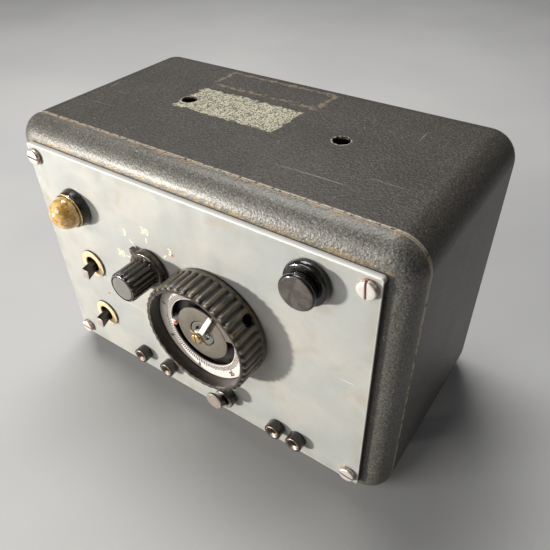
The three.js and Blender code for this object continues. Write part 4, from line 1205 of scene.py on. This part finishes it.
def range_knob():
    flutes_end = KNOB_SKIRT - 0.2

    def fluted(radius, y, angle):
        if radius < KNOB_GRIP - KNOB_FLUTE_DEPTH or radius > KNOB_GRIP + 0.3 or y > flutes_end:
            return radius
        narrow = groove_share(angle, KNOB_FLUTES) ** 1.3
        return radius - KNOB_FLUTE_DEPTH * narrow * min(1.0, (flutes_end - y) / 0.8)

    grip, groove, front = KNOB_GRIP, KNOB_GROOVE, KNOB_FRONT
    base = eased([(3.3, -1), (12.1, -1), (12.1, -3.7), (11.2, -4.9), (grip + 0.5, KNOB_SKIRT)], 0.5, 3)
    top = eased(
        [(grip + 0.5, KNOB_SKIRT), (grip, -5.8), (grip, -12.0), (grip - 0.05, front + 2.0),
         (grip - 0.3, front + 0.7), (grip - 0.9, front + 0.1), (groove + 0.3, front),
         (groove + 0.2, front + 0.45), (groove - 0.2, front + 0.45), (groove - 0.3, front + 0.05),
         (5.0, front), (0, front)], 0.2, 2)
    bore = [(0, -14), (3.3, -14)]
    body = lathe(bore + base + top[1:], KNOB_FLUTES * SIDES_PER_FLUTE, reshape=fluted)
    arrow = prism([(7.0, -4.6), (14.6, -0.55), (15.2, 0.0), (14.6, 0.55), (7.0, 4.6)], -4.2, -1.0, 0.35)
    arrow = shifted(arrow, turn=turned(-KNOB_ARROW_ANGLE))
    stand_for("range_knob", "range_knob_body", merged(body, arrow), knob_bakelite(), (RANGE_X, 0, RANGE_Z))


RANGE_MARKS = {225: "5", 180: "30", 135: "3", 90: "30", 45: "3"}
RANGE_NUMBER_REACH = 23.6
RED_DOTS = [(-6.0, 36.0), (-70.0, -20.0)]


def panel_printing():
    cream = painted("print_cream", None, "efeccb", "dcd8b4", 3.0, 0.5, speck="a9a58a", speckle=0.6)
    red = painted("print_red", None, "c8503c", "b5443a", 2.0, 0.5, speck="8c5a4c")
    rows = [(16.2, 19.4, angle) for angle in RANGE_MARKS]
    ticks("range_ticks", rows, 0.75, -INK_RISE, (RANGE_X, 0, RANGE_Z), cream, "root")
    for angle, text in RANGE_MARKS.items():
        x, z = polar(RANGE_NUMBER_REACH, angle)
        numeral(text, RANGE_X + x, RANGE_Z + z, -0.04, 6.0, 0, 0.12, f"range_number_{angle}", cream, "root")
    for index, (x, z) in enumerate(RED_DOTS):
        dot = lathe([(0, -0.08), (0.8, -0.06), (0.95, 0.05), (0, 0.05)], 24)
        settle(raw_object(f"red_dot_{index}", *dot, (x, 0, z)), red, "root")


# ---- toggle switches, release lever and sockets ----

WASHER_OUTER = 9.4
WASHER_INNER = 5.15
TOGGLE_PIVOT = 2.0
TOGGLE_LENGTH = 11.9
TOGGLE_TILT = 20
TOGGLE_HALF_WIDTH = 2.7
TOGGLE_HALF = 2.9
TIP_SLANT = 0.42
RELEASE_TILT = 54
RELEASE_PIVOT = -6.2
RELEASE_ARM = 8.9
RELEASE_BALL = 3.0
RELEASE_RISE = RELEASE_ARM * math.sin(math.radians(RELEASE_TILT))
RELEASE_REACH = RELEASE_ARM * math.cos(math.radians(RELEASE_TILT))


def toggle_bar():
    """A square lever, slimmer at its root, whose end face slants back towards the top."""
    tip = -TOGGLE_LENGTH
    sections = [
        (3.0, 0.7, 0.5), (-1.0, 0.78, 0.5), (-5.0, 0.9, 0.45), (tip + 1.5, 0.98, 0.4),
        (tip + 0.45, 1.0, 0.4), (tip + 0.15, 0.97, 0.5), (tip, 0.9, 0.6)]
    rings = []
    for y, share, corner in sections:
        outline = rounded_outline(TOGGLE_HALF_WIDTH * share, TOGGLE_HALF * share, corner, 4)
        slant = TIP_SLANT if y < tip + 2.0 else 0.0
        rings.append([(x, y + slant * (z + TOGGLE_HALF), z) for x, z in outline])
    return loft(rings)


def toggles(black):
    fibre = washer_fibre()
    lever_surface = lever_bakelite()
    washer = [
        (WASHER_INNER, -0.3), (WASHER_INNER, -1.2), (5.6, -1.5), (6.6, -1.42), (8.7, -1.4),
        (9.3, -1.1), (WASHER_OUTER, -0.3)]
    bush = lathe(eased([(5.1, 0), (6.0, 0), (6.0, 7), (5.1, 7)], 0.2, 2, closed=True), 56, closed=True)
    housing = block((-7.5, PANEL_BACK + 3.0, -12), (7.5, PANEL_BACK + 23, 12), 0.6)
    mouth = block((-3.1, PANEL_BACK, -5), (3.1, PANEL_BACK + 9, 5))
    for which in ("upper", "lower"):
        place = seat(f"toggle_washer_{which}")
        turned_ring(f"toggle_washer_{which}", f"toggle_{which}_washer", washer, 0.25, 3, 80, fibre)
        body = carve(raw_object(f"toggle_{which}_body", *housing, place), (mouth, place))
        settle(body, black, "root", f"toggle_body_{which}")
        settle(raw_object(f"toggle_{which}_bush", *bush, place), black, "root")
        stand_for(f"toggle_lever_{which}", f"toggle_{which}_bar", toggle_bar(), lever_surface,
                  (place[0], TOGGLE_PIVOT, place[2]), turned(TOGGLE_TILT, "X"))


def release_control():
    collar = [
        (3.9, -5.4), (5.7, -5.4), (6.4, -4.9), (6.5, -4.3), (6.5, -0.3), (5.4, -0.3), (5.4, 9), (3.9, 9)]
    turned_ring("release_collar", "release_bush", collar, 0.3, 3, 72, collar_bakelite())
    arm = lathe([(0, 0.6), (2.0, 0.4), (2.9, -0.6), (2.75, -3), (2.3, -RELEASE_ARM), (0, -RELEASE_ARM)], 40)
    arm = shifted(arm, turn=turned(-RELEASE_TILT, "X"))
    angles = [math.pi * i / 16 for i in range(17)]
    ball = lathe([(RELEASE_BALL * math.sin(a), -RELEASE_BALL * math.cos(a)) for a in angles], 40)
    face = -RELEASE_REACH - 2.0
    pad = eased(
        [(0, face + 0.15), (3.4, face + 0.05), (5.1, face), (5.8, face + 0.6), (5.7, face + 1.4),
         (3.4, face + 3.4), (0, face + 3.4)], 0.3, 3)
    pad = shifted(lathe(pad, 64), z=RELEASE_RISE)
    tail = lathe([(0, 0), (1.4, 0), (1.4, 5), (0, 5)], 24)
    place = seat("release_collar", RELEASE_PIVOT)
    stand_for("release_lever", "release_pad", merged(arm, ball, pad, tail), pad_bakelite(), place)


def sockets(black, contact_metal):
    sleeve = [
        (3.3, -5.4), (4.75, -5.4), (4.8, -5.75), (5.1, -5.7), (5.2, -5.2), (5.2, -0.3), (4.0, -0.3),
        (4.0, 8), (3.3, 8)]
    contact = eased(
        [(0, 14), (2.05, 14), (2.05, -4.4), (2.5, -4.9), (3.35, -5.85), (3.7, -6.0), (4.4, -5.95),
         (4.6, -5.6), (3.0, -5.55), (3.0, 20), (0, 20)], 0.18, 2)
    for which in SOCKETS:
        node = f"socket_sleeve_{which}"
        turned_ring(node, f"socket_{which}_sleeve", sleeve, 0.15, 2, 56, black)
        stand_for(f"socket_contact_{which}", f"socket_{which}_contact", lathe(contact, 56),
                  contact_metal, seat(node))


# ---- what the case holds ----

def dress_inside(black, steel, brass):
    """Materials for the CAD nodes that stay as they are."""
    aluminium = metal("aluminium_sheet", "aluminium", "c2c4c5", "8f9192", 0.42, 1.2)
    laminate = painted("laminate", "laminate", "6b4a2a", "55391f", 4.0, 0.55, speck="8a6a45")
    tape = painted("winding_tape", "winding_tape", "9a7b3c", "7f6230", 3.0, 0.5, speck="4f3d20")
    glass = clear_glass()
    plate = metal("relay_plate", "nickel", "cfc8bf", "9b948a", 0.35)
    dressed = {
        "lamp_bulb": glass, "lamp_holder": brass, "fuse_cartridge": glass, "dial_set_screw": steel,
        "dial_shaft": steel, "timer_motor": aluminium, "range_shaft": steel, "range_switch": laminate,
        "release_switch": black, "chassis": aluminium, "transformer_core": steel,
        "transformer_coil": tape, "relay_frame": plate, "relay_coil": tape, "capacitor": aluminium,
        "terminal_strip": laminate,
    }
    for node, surface in dressed.items():
        held = frame["nodes"][node]
        held.data.materials.clear()
        held.data.materials.append(surface.material)


# ---- floor ----

FLOOR_REACH = 3.0
FLOOR_LEVEL = -0.0002


def make_floor():
    mesh = bpy.data.meshes.new("floor")
    corners = [(-1, -1), (1, -1), (1, 1), (-1, 1)]
    verts = [(x * FLOOR_REACH, y * FLOOR_REACH, FLOOR_LEVEL) for x, y in corners]
    mesh.from_pydata(verts, [], [(0, 1, 2, 3)])
    floor = bpy.data.objects.new("floor", mesh)
    bpy.context.scene.collection.objects.link(floor)
    s = Surface("floor_paper")
    s.colour = s.mix(s.patches(0.3, 0.7, 220, 3, 0.5), "d3d2cf", "cbcac8")
    s.close(0.75)
    floor.data.materials.append(s.material)


# ---- the whole ----

def build():
    make_camera()
    make_studio()
    make_floor()
    glossy = glossy_bakelite()
    black = plain_bakelite()
    steel = metal("washer_steel", "steel", "b9b6b0", "7d7973", 0.3)
    brass = metal("brass", "brass", "e6cf9a", "a88a55", 0.3)
    contact_metal = metal("contact_metal", "brass", "a89a8e", "5d4f45", 0.42)
    hub_brass = metal("hub_brass", "brass", "e3cf9f", "b3935c", 0.32)
    white = painted("hand_enamel", "hand_white", "f4f1ea", "e6e0d5", 6.0, 0.4, speck="9b9184", speckle=0.3)
    red = painted("marker_red", None, "d9472f", "c23c2a", 3.0, 0.4, speck="8c2e22")
    rear_case()
    front_bezel()
    front_panel()
    screws()
    feet_and_gland()
    lamp(black, brass)
    fuse_holder(glossy)
    dial_cup()
    dial_scale()
    dial_disc(steel)
    setting_marker(white, red)
    pointer(white, hub_brass)
    range_knob()
    panel_printing()
    toggles(black)
    release_control()
    sockets(black, contact_metal)
    dress_inside(black, steel, brass)


build()
